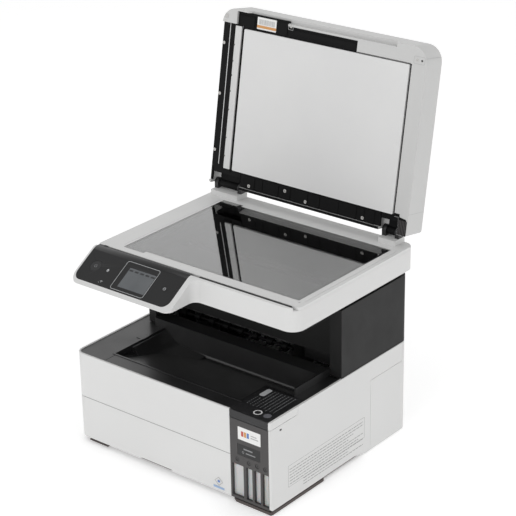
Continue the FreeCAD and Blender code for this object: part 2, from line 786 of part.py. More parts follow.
def power_supply():
    body = box(-171, -112, 102, 154, 80, 118)
    slots = [box(-172, -111, 108 + 6 * i, 110 + 6 * i, 117, 119) for i in range(7)]
    return cut(body, *slots)


def ac_inlet():
    """Two-pole mains inlet, open to the back."""
    x0, x1 = inlet_span(0)
    z0, z1 = inlet_rise(0)
    body = box(x0, x1, base_back - 20, base_back - 0.2, z0, z1)
    socket = elevation([(x0 + 4, z0 + 4), (x1 - 4, z0 + 4), (x1 - 4, z1 - 4), (x0 + 4, z1 - 4)], 4.5,
                       base_back - 16, base_back)
    pins = [rod("Y", (x, (z0 + z1) / 2), 1.2, base_back - 17, base_back - 6) for x in (x0 + 9, x1 - 9)]
    return fuse(body.cut(socket), *pins)


# ---------------------------------------------------------------- scanner

def slope_point(distance, depth=0.0):
    """Y and Z of a point down the control panel slope, and depth below its face."""
    y = crest_y - 2.5 - distance * math.cos(slope) + depth * math.sin(slope)
    z = scan_top - 1.6 - distance * math.sin(slope) - depth * math.cos(slope)
    return y, z


def scanner_plan(inset, z0, z1):
    """Plan of the scanner: a panel nose at the left and a straight front at the right."""
    left, right = scan_left + inset, scan_right - inset
    front, back = scan_front + inset, scan_back - inset
    nose, side = nose_y + inset, nose_right - inset
    outline = [(left, nose), (side, nose), (side, front), (right, front), (right, back), (left, back)]
    radii = [18 - inset, 12 - inset, 12 + inset, 20 - inset, 17 - inset, 17 - inset]
    return plan(outline, radii, z0, z1)


def scanner_side(offset):
    """Side profile with the sloping nose, offset inwards."""
    top = scan_top - offset
    tip_z = scanner_floor_z + 0.5
    run = (slope_point(0, offset)[1] - tip_z) / math.sin(slope)
    tip_y = slope_point(run, offset)[0]
    crest = crest_y - 2.5 + 1.6 / math.tan(slope) + offset * math.tan(slope / 2)
    outline = [(tip_y, scanner_floor_z), (scan_back + 1, scanner_floor_z), (scan_back + 1, top),
               (crest, top), (tip_y, tip_z)]
    return profile(outline, [0, 0, 0, crest_radius - offset, 0], scan_left - 1, scan_right + 1)


def panel_band(top, bottom, x0, x1, radius, y_end, y_start):
    """Layer that follows the crest and slope between two depths, trimmed in plan."""
    layer = scanner_side(top).cut(scanner_side(bottom))
    return layer.common(slab(x0, x1, y_end, y_start, scanner_floor_z, scan_top + 5, [radius, radius, 2, 2]))


def panel_x():
    return panel_left, panel_left + panel_width


def button_axis():
    """Centre of the power button on the panel face."""
    return V(-160, *slope_point(28))


def button_disc(radius, depth0, depth1):
    """Disc square to the panel slope, between two depths below its face."""
    inward = V(0, math.sin(slope), -math.cos(slope))
    return Part.makeCylinder(radius, depth1 - depth0, button_axis() + inward * depth0, inward)


def display_shape(s0, s1, x0, x1, depth0, depth1):
    """Block lying in the panel slope."""
    corners = [slope_point(s0, depth0), slope_point(s1, depth0), slope_point(s1, depth1), slope_point(s0, depth1)]
    return profile(corners, 0, x0, x1)


def control_panel():
    x0, x1 = panel_x()
    y_end = slope_point(panel_drop)[0]
    face = panel_band(0.0, panel_thick, x0 + 0.2, x1 - 0.2, panel_corner - 0.2, y_end + 0.2, scan_front + 9)
    hole = button_disc(button_radius + gap, -1, 4)
    window = display_shape(12.9, 48.2, -102.6, -51.4, -1, 1.4)
    return cut(face, hole, window)


def display():
    return display_shape(13.1, 48.0, -102.4, -51.6, 0.1, 1.3)


def power_button():
    return fuse(button_disc(button_radius, 0.1, 2.2), button_disc(3, 2.0, 5.0))


def scanner_base():
    outer = scanner_plan(0, scanner_floor_z, scan_top).common(scanner_side(0))
    top_bed = slab(scan_left - 1, scan_right + 1, scan_front + 4.5, scan_back + 1,
                   scan_top - frame_thick - 0.2, scan_top + 1, 0)
    x0, x1 = panel_x()
    y_end = slope_point(panel_drop)[0]
    pocket = panel_band(0.0, panel_thick + 0.1, x0, x1, panel_corner, y_end, scan_front + 9.2)
    pocket = fuse(pocket, pocket.translated(V(0, 0, 0.5)))
    bed = slab(scan_left + 3, scan_right - 3, scan_front + 4.5, scan_back - 3,
               scanner_floor_z + 2.5, scan_top, [5, 22, 14, 14])
    nose = profile([(-150, scanner_floor_z + 2.5), (scan_front + 1, scanner_floor_z + 2.5),
                    (scan_front + 1, scan_top - 9), (-150, scanner_floor_z + 5)], 0, x0 + 3, x1 - 4)
    shaft = button_disc(button_radius + 1, 0, 10)
    return cut(outer, top_bed, pocket, bed, nose, shaft)


def scanner_frame():
    """Top bezel round the glass, with the groove that marks its front edge."""
    z0, z1 = scan_top - frame_thick, scan_top
    front = scan_front + 10.5
    plate = slab(scan_left, scan_right, front, scan_back, z0, z1, [2, 2, 17, 17])
    plate = plate.common(scanner_plan(0, z0 - 1, z1 + 1))
    window = fuse(box(-149, 171.5, -80.5, 137, z0 - 1, z1 + 1), box(-149, -110, -87, 142, z0 - 1, z1 + 1))
    shelf = fuse(box(-152, 174.5, -83.5, 140, z0, z1 - glass_thick - 0.1),
                 box(-152, -107, -90, 145, z0, z1 - glass_thick - 0.1))
    clear = fuse(box(-145, 167.5, -76.5, 133, z0 - 1, z1 + 1), box(-145, -114, -83, 138, z0 - 1, z1 + 1))
    ring = fuse(plate.cut(window), shelf.cut(clear))
    step = box(scan_left - 1, scan_right + 1, 161, scan_back + 1, z1 - 1.2, z1 + 1)
    seats = [box(x - half - 0.1, x + half + 0.1, hinge_y - 17.1, scan_back, z1 - 1.2, z1 + 1)
             for x, half in hinge_stations()]
    groove = box(180.4, 181.4, -80, 137, z1 - 0.6, z1 + 1)
    lip = slab(scan_left + 3.2, scan_right - 3.2, front, scan_back - 3.2, z0 - 4, z0 + 0.1, [2, 16, 14, 14])
    lip = lip.cut(slab(scan_left + 5.2, scan_right - 5.2, front + 2, scan_back - 5.2, z0 - 5, z0 + 1,
                       [2, 14, 12, 12]))
    return cut(fuse(ring, lip), step, groove, *seats)


def platen_glass():
    z1 = scan_top - 0.1
    main = box(-148.8, 171.3, -80.3, 136.8, z1 - glass_thick, z1)
    feeder_window = box(-148.8, -110.2, -86.8, 141.8, z1 - glass_thick, z1)
    return fuse(main, feeder_window)


def under_tray():
    """Dark underside of the scanner, with the lugs that hang on the hinge pins."""
    main = slab(-172, 178, -60, under_tray_back, housing_top + gap, scanner_floor_z, [3, 3, 3, 3])
    front = profile([(-90, scanner_floor_z), (-78, 250), (-26, 250), (-22, scanner_floor_z)], 0, -165, 176)
    lugs = []
    for x in scanner_hinge_places():
        lug = fuse(rod("X", scanner_axis, 6.5, x - 4, x + 4),
                   box(x - 4, x + 4, scanner_axis[0] - 6.5, under_tray_back, scanner_axis[1], 256))
        lugs.append(lug)
    body = fuse(main, front, *lugs)
    bores = [rod("X", scanner_axis, 3 + running, x - 5, x + 5) for x in scanner_hinge_places()]
    return cut(body, *bores)


def scan_rail():
    """Steel guide rod under the glass, in two end blocks."""
    z = scanner_floor_z + 9
    return fuse(rod("X", (28, z), 3, -180, 180), box(-181, -172, 22, 34, z - 6.4, z + 4),
                box(172, 181, 22, 34, z - 6.4, z + 4))


def scan_carriage():
    z = scanner_floor_z + 9
    x0 = -142.0
    x1 = x0 + scan_bar_width
    bar = box(x0, x1, -82, 136.5, z + 5, scan_top - glass_thick - 2.4)
    saddle = box(x0 + 1, x1 - 1, 20, 36, z - 5, z + 5.1)
    lens = box(x0 + 7, x0 + 15, -79, 133, scan_top - glass_thick - 3.4, scan_top)
    return cut(fuse(bar, saddle), rod("X", (28, z), 3 + running, x0 - 1, x1 + 1), lens)


def scan_drive():
    """Scan motor and its belt, beside the guide rod."""
    z = scanner_floor_z + 4
    can = rod("Z", (172, 50), 8, z, z + 18)
    belt = slab(-176, 176, 46, 54, z, z + 3, 3.9).cut(slab(-175, 175, 47, 53, z - 1, z + 4, 2.9))
    return group(can.cut(box(160, 177, 40, 60, z - 1, z + 3.4)), belt)


def hinge_stations():
    """Middle of each lid hinge along X, and its half width."""
    return [(-155.5, 26.5), (154.0, 15.0)]


def lid_brackets():
    """Hinge brackets that stand on the rear of the scanner frame."""
    solids = []
    top = scan_top - 1.2
    for x, half in hinge_stations():
        foot = box(x - half, x + half, hinge_y - 17, hinge_y + 8, top, top + bracket_foot)
        ears = []
        for s in (-1, 1):
            inner = x + s * (half - 7)
            outer = x + s * half
            ear = fuse(rod("X", (hinge_y, hinge_z), 7.5, min(inner, outer), max(inner, outer)),
                       box(min(inner, outer), max(inner, outer), hinge_y - 7.5, hinge_y + 7.5, top, hinge_z))
            ears.append(ear)
        pin = rod("X", (hinge_y, hinge_z), pin_radius, x - half, x + half)
        solids.append(fuse(foot, *ears, pin))
    return group(*solids)


# ---------------------------------------------------------------- lid (drawn closed)

def hinge_notches(height):
    """Room for the brackets in the rear edge of the lid."""
    return [box(x - half - 1.5, x + half + 1.5, hinge_y - 26, lid_back + 20, lid_bottom - 1, height)
            for x, half in hinge_stations()]


def feeder_zone():
    """X span of the document feeder on the lid's left."""
    return scan_left + 4, -92.0


def plate_outline(inset):
    """Plan of the black inner plate: full width at the left, stepped along the front of the lid."""
    left, right = scan_left - 1 + inset * 5, mat_right() + 4 - inset
    front, back = lid_front + 3 + inset, lid_back - 4 - inset
    step = lid_front + 10 + inset
    mat_front = mat_back - mat_depth - 1.5 + inset
    corner_x, corner_y = -160 + inset, lid_front + 23 + inset
    return [(left, corner_y), (corner_x, corner_y), (corner_x, front), (-62 - inset, front), (-62 - inset, step),
            (66 - inset, step), (66 - inset, mat_front), (right, mat_front), (right, back), (left, back)]


def mat_right():
    return mat_left + mat_width


def lid_shell():
    z0, z1 = lid_bottom, lid_top
    outer = slab(scan_left, scan_right, lid_front, lid_back, z0, z1, [25, 25, 4, 4])
    rims = [e for e in outer.Edges if e.BoundBox.ZMin > z1 - 0.01]
    outer = outer.makeFillet(2.5, rims)
    under = plan(plate_outline(0), 0, z0 - 1, z0 + 8)
    chamber = slab(-180, scan_right - 4, lid_front + 10, lid_back - 4, z0 + 7, z0 + 15, [16, 20, 3, 3])
    left, right = feeder_zone()
    feeder = box(left, right, feeder_front, feeder_back, z0 + 14, z1 + 1)
    tray_bay = box(right - 0.1, 178, feeder_front, feeder_back, z0 + 18, z1 + 1)
    grip = elevation([(-140, z0 - 1), (135, z0 - 1), (130, z0 + 8), (-135, z0 + 8)], 0, lid_front - 1,
                     lid_front + 7)
    shell = cut(outer, under, chamber, feeder, tray_bay, grip, *hinge_notches(z1 + 1))
    return shell


def lid_plate():
    """Black inner plate seen round the mat."""
    z = lid_bottom + 3.6
    return cut(plan(plate_outline(gap), 0, z, z + 3), *hinge_notches(z + 10))


def document_mat():
    z = lid_bottom + 0.3
    return slab(mat_left, mat_right(), mat_back - mat_depth, mat_back, z, z + mat_thick + 0.3, 2)


def feeder_bar():
    """Light bar over the feeder's scan window."""
    z = lid_bottom + 0.9
    return box(-162, -150, feeder_front, mat_back, z, z + 2.7)


def lid_screws():
    heads = []
    z = lid_bottom + 2.6
    side_x = scan_left + 4
    places = [(-110, 157), (0, 157), (106, 157), (-40, 149), (side_x, 114), (side_x, 25), (side_x, -54)]
    for x, y in places:
        head = rod("Z", (x, y), 2.5, z, z + 1)
        recess = fuse(box(x - 2, x + 2, y - 0.4, y + 0.4, z - 1, z + 0.6),
                      box(x - 0.4, x + 0.4, y - 2, y + 2, z - 1, z + 0.6))
        heads.append(head.cut(recess))
    return group(*heads)


def lid_knuckles():
    """Lid halves of the hinges, turning on the bracket pins."""
    solids = []
    for x, half in hinge_stations():
        reach = half - 7.4
        barrel = rod("X", (hinge_y, hinge_z), hinge_radius, x - reach, x + reach)
        leaf = box(x - reach, x + reach, hinge_y - 26, hinge_y, hinge_z - 2, hinge_z + hinge_radius)
        plate = box(x - half - 1.4, x + half + 1.4, hinge_y - 26, hinge_y - 17.5, hinge_z - 6, hinge_z + 16)
        bore = rod("X", (hinge_y, hinge_z), pin_radius + running, x - reach - 1, x + reach + 1)
        solids.append(fuse(barrel, leaf, plate).cut(bore))
    return group(*solids)


def feeder_cover():
    """Cover over the document feeder's paper path, turning about its rounded outer edge."""
    left, right = feeder_zone()
    front, back = feeder_front + 0.4, feeder_back - 0.4
    z0, z1 = lid_bottom + 22.4, lid_top
    edge_x, edge_z = left + 4, lid_top - 3.6
    shell = box(edge_x, right - 0.4, front, back, z0, z1)
    hollow = box(edge_x + 4, right - 3, front + 2.6, back - 2.6, z0 - 1, z1 - 2.5)
    return fuse(shell.cut(hollow), rod("Y", (edge_x, edge_z), 3.6, front, back))


def feeder_roller():
    x, z = -130.0, lid_bottom + 16.5
    axle = rod("Y", (x, z), 2, feeder_front + 0.4, feeder_back - 0.4)
    wheels = [rod("Y", (x, z), 6.5, y, y + 26) for y in (0, 50)]
    return fuse(axle, *wheels)


def input_tray():
    """Document tray flush in the lid's top, turning about its rounded edge beside the feeder."""
    z1 = lid_top
    x0, x1 = feeder_zone()[1] + 0.6, 177.6
    front, back = feeder_front + 0.4, feeder_back - 0.4
    edge_x, edge_z = x0 + 4.5, z1 - 4.5
    plate = slab(edge_x, x1, front, back, z1 - 9, z1, [0, 2, 2, 0])
    bay = slab(x0 + 8, x0 + 80, front + 16, back - 16, z1 - 5, z1 + 1, 2)
    hollow = box(x0 + 90, x1 - 4, front + 4, back - 4, z1 - 10, z1 - 3)
    return fuse(cut(plate, bay, hollow), rod("Y", (edge_x, edge_z), 4.5, front, back))


def feeder_guide(side):
    """Edge guide that slides in the document tray."""
    z = lid_top
    x0 = feeder_zone()[1] + 14
    middle = (feeder_front + feeder_back) / 2
    fence_y = middle + side * 88
    outer_y = fence_y + side * 2
    fence = box(x0, x0 + 60, min(fence_y, outer_y), max(fence_y, outer_y), z - 4.7, z - 0.3)
    foot_y = fence_y - side * 22
    foot = box(x0 + 10, x0 + 40, min(foot_y, outer_y), max(foot_y, outer_y), z - 4.7, z - 3.5)
    return fuse(fence, foot)


def build():
    os.makedirs("parts", exist_ok=True)
    fixed = {
        "chassis": chassis, "rubber_feet": feet, "left_side_cover": left_side_cover,
        "right_side_cover": right_side_cover, "front_cover": front_cover, "rear_panel": rear_panel,
        "rear_cover": rear_cover, "output_tray": output_tray, "engine_housing": engine_housing,
        "ink_bezel": ink_bezel, "tank_caps": tank_caps,
        "ink_tubes": ink_tubes, "ink_cover": ink_cover,
        "ink_cover_cheek": ink_cover_cheek, "cassette_front": cassette_front,
        "cassette_tray": cassette_tray, "length_guide": length_guide, "pickup_roller": pickup_roller,
        "feed_roller": feed_roller, "motor_pinion": motor_pinion, "feed_motor": feed_motor,
        "pinch_rollers": pinch_rollers, "eject_roller": eject_roller, "platen": platen,
        "print_carriage": print_carriage, "carriage_rail": carriage_rail,
        "carriage_belt": carriage_belt, "carriage_motor": carriage_motor,
        "maintenance_station": maintenance_station, "main_board": main_board, "power_supply": power_supply,
        "ac_inlet": ac_inlet, "scanner_base": scanner_base, "scanner_frame": scanner_frame,
        "platen_glass": platen_glass, "under_tray": under_tray, "control_panel": control_panel,
        "display": display, "power_button": power_button, "scan_rail": scan_rail,
        "scan_carriage": scan_carriage, "scan_drive": scan_drive, "lid_brackets": lid_brackets,
    }
    for name, make in fixed.items():
        save(name, make())
    for name, span in zip(("black", "cyan", "magenta", "yellow"), tank_spans()):
        save("ink_tank_" + name, ink_tank(*span))
    for name, side in (("left", -1), ("right", 1)):
        save("paper_guide_" + name, side_guide(side))
    swinging = {
        "lid_shell": lid_shell, "lid_plate": lid_plate, "document_mat": document_mat,
        "feeder_bar": feeder_bar, "lid_screws": lid_screws, "lid_knuckles": lid_knuckles,
        "feeder_cover": feeder_cover, "feeder_roller": feeder_roller, "input_tray": input_tray,
    }
    for name, make in swinging.items():
        save(name, make(), lid=True)
    for name, side in (("front", -1), ("rear", 1)):
        save("feeder_guide_" + name, feeder_guide(side), lid=True)


build()
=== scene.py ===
import json
import math
import random

import bmesh
import bpy
from mathutils import Matrix, Vector


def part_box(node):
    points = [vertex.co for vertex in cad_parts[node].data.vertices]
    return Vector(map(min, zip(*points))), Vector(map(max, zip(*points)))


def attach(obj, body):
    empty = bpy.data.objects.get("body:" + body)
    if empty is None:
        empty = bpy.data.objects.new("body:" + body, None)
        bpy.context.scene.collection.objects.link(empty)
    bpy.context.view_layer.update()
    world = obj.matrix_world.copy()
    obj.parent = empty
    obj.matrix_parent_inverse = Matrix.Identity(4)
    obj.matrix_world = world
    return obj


# Looks of a flatbed inkjet printer whose document lid stands open.
# Metres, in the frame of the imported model: X right, Y back, Z up.

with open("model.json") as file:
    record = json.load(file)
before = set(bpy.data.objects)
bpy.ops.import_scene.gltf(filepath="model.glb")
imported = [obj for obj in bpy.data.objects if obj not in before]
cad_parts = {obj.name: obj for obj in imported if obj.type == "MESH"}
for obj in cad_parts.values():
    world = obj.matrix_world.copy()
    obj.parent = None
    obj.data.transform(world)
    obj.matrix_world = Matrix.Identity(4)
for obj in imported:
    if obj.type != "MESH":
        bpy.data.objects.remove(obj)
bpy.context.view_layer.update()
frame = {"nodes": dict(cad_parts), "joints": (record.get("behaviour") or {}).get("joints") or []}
nodes = frame["nodes"]
rng = random.Random(11)
MM = 0.001


# ---------------------------------------------------------------- materials

def start(name):
    """New node material: its tree, its shader and the place coordinates."""
    material = bpy.data.materials.new(name)
    material.use_nodes = True
    tree = material.node_tree
    place = tree.nodes.new("ShaderNodeTexCoord").outputs["Object"]
    return material, tree, tree.nodes["Principled BSDF"], place


def noise(tree, place, scale, detail=3.0, stretch=None):
    """Noise value, stretched along the axes where asked."""
    node = tree.nodes.new("ShaderNodeTexNoise")
    node.inputs["Scale"].default_value = scale
    node.inputs["Detail"].default_value = detail
    if stretch:
        mapping = tree.nodes.new("ShaderNodeMapping")
        mapping.inputs["Scale"].default_value = stretch
        tree.links.new(place, mapping.inputs["Vector"])
        place = mapping.outputs["Vector"]
    tree.links.new(place, node.inputs["Vector"])
    return node.outputs["Fac"]


def remap(tree, value, low, high, start_at=0.3, end_at=0.7):
    """Value spread between low and high."""
    node = tree.nodes.new("ShaderNodeMapRange")
    node.inputs["From Min"].default_value = start_at
    node.inputs["From Max"].default_value = end_at
    node.inputs["To Min"].default_value = low
    node.inputs["To Max"].default_value = high
    tree.links.new(value, node.inputs["Value"])
    return node.outputs["Result"]


def mix(tree, factor, first, second):
    """Colour between two colours, each a tuple or a socket."""
    node = tree.nodes.new("ShaderNodeMix")
    node.data_type = "RGBA"
    tree.links.new(factor, node.inputs["Factor"])
    for socket, colour in ((node.inputs[6], first), (node.inputs[7], second)):
        if isinstance(colour, tuple):
            socket.default_value = (*colour, 1)
        else:
            tree.links.new(colour, socket)
    return node.outputs[2]


def shade(colour, factor):
    return tuple(c * factor for c in colour)


def bump(tree, shader, height, distance, strength=1.0):
    node = tree.nodes.new("ShaderNodeBump")
    node.inputs["Distance"].default_value = distance
    node.inputs["Strength"].default_value = strength
    tree.links.new(height, node.inputs["Height"])
    tree.links.new(node.outputs["Normal"], shader.inputs["Normal"])


def along_axis(tree, vector, axis):
    """One coordinate of a place or a direction."""
    split = tree.nodes.new("ShaderNodeSeparateXYZ")
    tree.links.new(vector, split.inputs[0])
    return split.outputs[axis]


def facing_up(tree):
    """One on surfaces that face up, where dust settles, and zero on walls."""
    normal = tree.nodes.new("ShaderNodeNewGeometry").outputs["Normal"]
    return remap(tree, along_axis(tree, normal, "Z"), 0.0, 1.0, 0.55, 1.0)


def product(tree, first, second):
    node = tree.nodes.new("ShaderNodeMath")
    node.operation = "MULTIPLY"
    tree.links.new(first, node.inputs[0])
    tree.links.new(second, node.inputs[1])
    return node.outputs[0]


def surface(tree, shader, colour, roughness):
    """The shader takes its colour and its roughness from these values."""
    tree.links.new(colour, shader.inputs["Base Color"])
    tree.links.new(roughness, shader.inputs["Roughness"])


DUST = (0.42, 0.41, 0.39)
LINT = (0.3, 0.29, 0.28)


def moulded(name, colour, roughness, mottle=0.04, grain=0.0006, depth=0.00003, dust=0.0,
            specular=0.5):
    """Moulded plastic: spark-eroded grain, faint flow marks, handling smudges and dust."""
    material, tree, shader, place = start(name)
    broad = remap(tree, noise(tree, place, 9.0, 4.0), 0.0, 1.0)
    base = mix(tree, broad, shade(colour, 1 - mottle), shade(colour, 1 + mottle))
    if dust:
        specks = remap(tree, noise(tree, place, 170.0, 5.0), 0.0, dust, 0.45, 0.75)
        settled = product(tree, specks, facing_up(tree))
        base = mix(tree, settled, base, DUST)
    smudge = noise(tree, place, 26.0, 3.0)
    surface(tree, shader, base, remap(tree, smudge, roughness - 0.05, roughness + 0.05))
    shader.inputs["Specular IOR Level"].default_value = specular
    bump(tree, shader, noise(tree, place, 1 / grain, 2.0), depth)
    return material


def brushed(name, colour, roughness):
    """Plated or rolled metal with fine lines along X."""
    material, tree, shader, place = start(name)
    lines = noise(tree, place, 900.0, 3.0, (0.04, 1.0, 1.0))
    stains = remap(tree, noise(tree, place, 14.0, 4.0), 0.0, 1.0)
    surface(tree, shader, mix(tree, stains, shade(colour, 0.86), colour),
            remap(tree, lines, roughness - 0.08, roughness + 0.1))
    shader.inputs["Metallic"].default_value = 1.0
    bump(tree, shader, lines, 0.00002)
    return material


def ground_rubber(name, colour):
    """Ground rubber: matte, with lint and fine grinding marks."""
    material, tree, shader, place = start(name)
    lint = remap(tree, noise(tree, place, 420.0, 4.0), 0.0, 0.35, 0.55, 0.8)
    surface(tree, shader, mix(tree, lint, colour, LINT),
            remap(tree, noise(tree, place, 50.0), 0.75, 0.95))
    bump(tree, shader, noise(tree, place, 1800.0, 2.0), 0.00006)
    return material


def clear_glass(name, tint):
    """Coated float glass with the faintest wipe marks."""
    material, tree, shader, place = start(name)
    mirror_index = 1.85
    wipe = remap(tree, noise(tree, place, 7.0, 5.0, (1.0, 0.25, 1.0)), 0.0, 1.0)
    surface(tree, shader, mix(tree, wipe, tint, shade(tint, 0.985)),
            remap(tree, wipe, 0.0, 0.012, 0.0, 1.0))
    shader.inputs["Transmission Weight"].default_value = 1.0
    shader.inputs["IOR"].default_value = mirror_index
    shader.inputs["Coat Weight"].default_value = 1.0
    shader.inputs["Coat IOR"].default_value = mirror_index
    return material


def tank_wall(name, colour):
    """Milky wall of an empty ink tank, darker towards its foot."""
    material, tree, shader, place = start(name)
    low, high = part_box(name.replace("tank_", "ink_tank_"))
    # darker towards the bottom of the tank
    height = remap(tree, along_axis(tree, place, "Z"), 0.0, 1.0, low.z, (low.z + high.z) / 2)
    streaks = remap(tree, noise(tree, place, 60.0, 3.0, (4.0, 4.0, 0.3)), 0.0, 1.0)
    wall = mix(tree, streaks, shade(colour, 0.95), colour)
    surface(tree, shader, mix(tree, height, shade(colour, 0.86), wall),
            remap(tree, noise(tree, place, 300.0), 0.3, 0.42))
    shader.inputs["Subsurface Weight"].default_value = 0.25
    shader.inputs["Subsurface Scale"].default_value = 0.004
    bump(tree, shader, noise(tree, place, 700.0), 0.00003)
    return material


def two_tone(name, foot, ears, level):
    """Hinge brackets: light feet up to a level, with black ears on them."""
    material, tree, shader, place = start(name)
    above = remap(tree, along_axis(tree, place, "Z"), 0.0, 1.0, level, level + 0.00005)
    flow = remap(tree, noise(tree, place, 9.0, 4.0), 0.0, 1.0)
    light = mix(tree, flow, shade(foot, 0.98), foot)
    dark = mix(tree, flow, shade(ears, 0.9), ears)
    surface(tree, shader, mix(tree, above, light, dark),
            remap(tree, noise(tree, place, 26.0), 0.38, 0.48))
    bump(tree, shader, noise(tree, place, 1600.0, 2.0), 0.00003)
    return material


def screen(name):
    """Unlit display: blue-grey glass with a soft sheen painted into its colour, and a fine pixel
    raster.
    """
    material, tree, shader, place = start(name)
    # painted sheen: the colour drifts between two blue-greys where light would lie across the glass
    painted_sheen = remap(tree, noise(tree, place, 22.0, 2.0), 0.0, 1.0)
    surface(tree, shader, mix(tree, painted_sheen, (0.082, 0.089, 0.096), (0.108, 0.115, 0.122)),
            remap(tree, noise(tree, place, 90.0), 0.1, 0.18))
    shader.inputs["Coat Weight"].default_value = 0.6
    shader.inputs["Coat Roughness"].default_value = 0.08
    bump(tree, shader, noise(tree, place, 2500.0, 0.0), 0.000008)
    return material


def circuit_board(name):
    """Solder mask over copper tracks, with black sockets behind the board."""
    material, tree, shader, place = start(name)
    cells = tree.nodes.new("ShaderNodeTexVoronoi")
    cells.distance = "CHEBYCHEV"
    cells.inputs["Scale"].default_value = 260.0
    tree.links.new(place, cells.inputs["Vector"])
    track = remap(tree, cells.outputs["Distance"], 0.0, 1.0, 0.42, 0.5)
    mask = mix(tree, track, (0.01, 0.09, 0.04), (0.03, 0.2, 0.09))
    board_back, edge = 0.1210, 0.0002
    behind = remap(tree, along_axis(tree, place, "Y"), 0.0, 1.0, board_back, board_back + edge)
    surface(tree, shader, mix(tree, behind, mask, (0.012, 0.012, 0.013)),
            remap(tree, noise(tree, place, 120.0), 0.25, 0.4))
    bump(tree, shader, track, 0.00003)
    return material


def printed(name, colour, roughness=0.5):
    """Printed ink or a paper label: slight mottling and fibre."""
    material, tree, shader, place = start(name)
    spots = remap(tree, noise(tree, place, 900.0, 3.0), 0.0, 1.0)
    surface(tree, shader, mix(tree, spots, shade(colour, 0.93), colour),
            remap(tree, noise(tree, place, 80.0), roughness - 0.06, roughness + 0.06))
    bump(tree, shader, noise(tree, place, 1600.0), 0.00001)
    return material


def mat_film(name):
    """White film over foam: faintly cushioned and a little grubby."""
    material, tree, shader, place = start(name)
    grime = remap(tree, noise(tree, place, 5.0, 5.0), 0.0, 1.0)
    surface(tree, shader, mix(tree, grime, (0.66, 0.66, 0.66), (0.71, 0.71, 0.705)),
            remap(tree, noise(tree, place, 18.0), 0.42, 0.55))
    weave = product(tree, noise(tree, place, 700.0), noise(tree, place, 40.0))
    swell = tree.nodes.new("ShaderNodeMath")
    swell.operation = "ADD"
    tree.links.new(noise(tree, place, 11.0, 2.0), swell.inputs[0])
    tree.links.new(weave, swell.inputs[1])
    bump(tree, shader, swell.outputs[0], 0.0004, 0.5)
    return material


WHITE = (0.665, 0.665, 0.66)
BLACK = (0.011, 0.011, 0.012)
finishes = {
    "white_shell": moulded("white_shell", WHITE, 0.42, 0.012),
    "black_shell": moulded("black_shell", BLACK, 0.4, 0.12, dust=0.03),
    "dark_frame": moulded("dark_frame", (0.082, 0.068, 0.064), 0.55, 0.1, specular=0.3),
    "grey_bezel": moulded("grey_bezel", (0.045, 0.042, 0.042), 0.42, 0.06),
    "panel_black": moulded("panel_black", (0.006, 0.006, 0.0065), 0.32, 0.1, 0.0009, 0.00001),
    "panel_button": moulded("panel_button", (0.02, 0.02, 0.021), 0.32, 0.1, 0.0008, 0.00001),
    "display_glass": screen("display_glass"),
    "platen_glass": clear_glass("platen_glass", (0.42, 0.43, 0.43)),
    "document_mat": mat_film("document_mat"),
    "feeder_bar": moulded("feeder_bar", (0.62, 0.62, 0.615), 0.3, 0.03),
    "screw_steel": brushed("screw_steel", (0.62, 0.61, 0.59), 0.3),
    "rubber": ground_rubber("rubber", (0.02, 0.02, 0.02)),
    "roller_rubber": ground_rubber("roller_rubber", (0.045, 0.045, 0.046)),
    "grey_plastic": moulded("grey_plastic", (0.075, 0.075, 0.076), 0.5, 0.08),
    "carriage_plastic": moulded("carriage_plastic", (0.028, 0.028, 0.029), 0.45, 0.1),
    "rail_steel": brushed("rail_steel", (0.55, 0.56, 0.57), 0.34),
    "belt_rubber": ground_rubber("belt_rubber", (0.015, 0.015, 0.015)),
    "motor_steel": brushed("motor_steel", (0.5, 0.5, 0.51), 0.3),
    "pinion_plastic": moulded("pinion_plastic", (0.72, 0.70, 0.63), 0.4, 0.05),
    "board": circuit_board("board"),
    "supply_case": moulded("supply_case", (0.03, 0.03, 0.031), 0.5, 0.1),
    "socket_black": moulded("socket_black", (0.014, 0.014, 0.015), 0.42, 0.1),
    "tube_clear": moulded("tube_clear", (0.3, 0.28, 0.27), 0.25, 0.12),
    "tank_black": tank_wall("tank_black", (0.60, 0.60, 0.60)),
    "tank_cyan": tank_wall("tank_cyan", (0.585, 0.60, 0.605)),
    "tank_magenta": tank_wall("tank_magenta", (0.605, 0.585, 0.595)),
    "tank_yellow": tank_wall("tank_yellow", (0.605, 0.60, 0.58)),
    "cap_rubber": ground_rubber("cap_rubber", (0.03, 0.03, 0.03)),
}
matt_black = moulded("matt_black", (0.0045, 0.0045, 0.0048), 0.55, 0.15, specular=0.12)
legend = printed("legend", (0.52, 0.53, 0.54))
paper = printed("label_paper", (0.80, 0.80, 0.79), 0.6)
label_grey = printed("label_grey", (0.42, 0.42, 0.42))
label_red = printed("label_red", (0.5, 0.09, 0.07))
label_amber = printed("label_amber", (0.62, 0.3, 0.1))
label_blue = printed("label_blue", (0.12, 0.22, 0.5))
faint_legend = printed("faint_legend", (0.24, 0.245, 0.25))
disc_grey = printed("disc_grey", (0.13, 0.13, 0.145))
side_print = printed("side_print", (0.22, 0.22, 0.22))
label_pale = printed("label_pale", (0.30, 0.42, 0.62))
# bright_strip is a pale colour: the ring on the ink cover, the strip beside the glass, and the
# painted highlight along the lid's left edge.
bright_strip = printed("bright_strip", (0.72, 0.72, 0.72), 0.35)
panel_shadow = printed("panel_shadow", (0.03, 0.031, 0.033), 0.3)
dark_seam = moulded("dark_seam", (0.008, 0.008, 0.008), 0.6, 0.1)


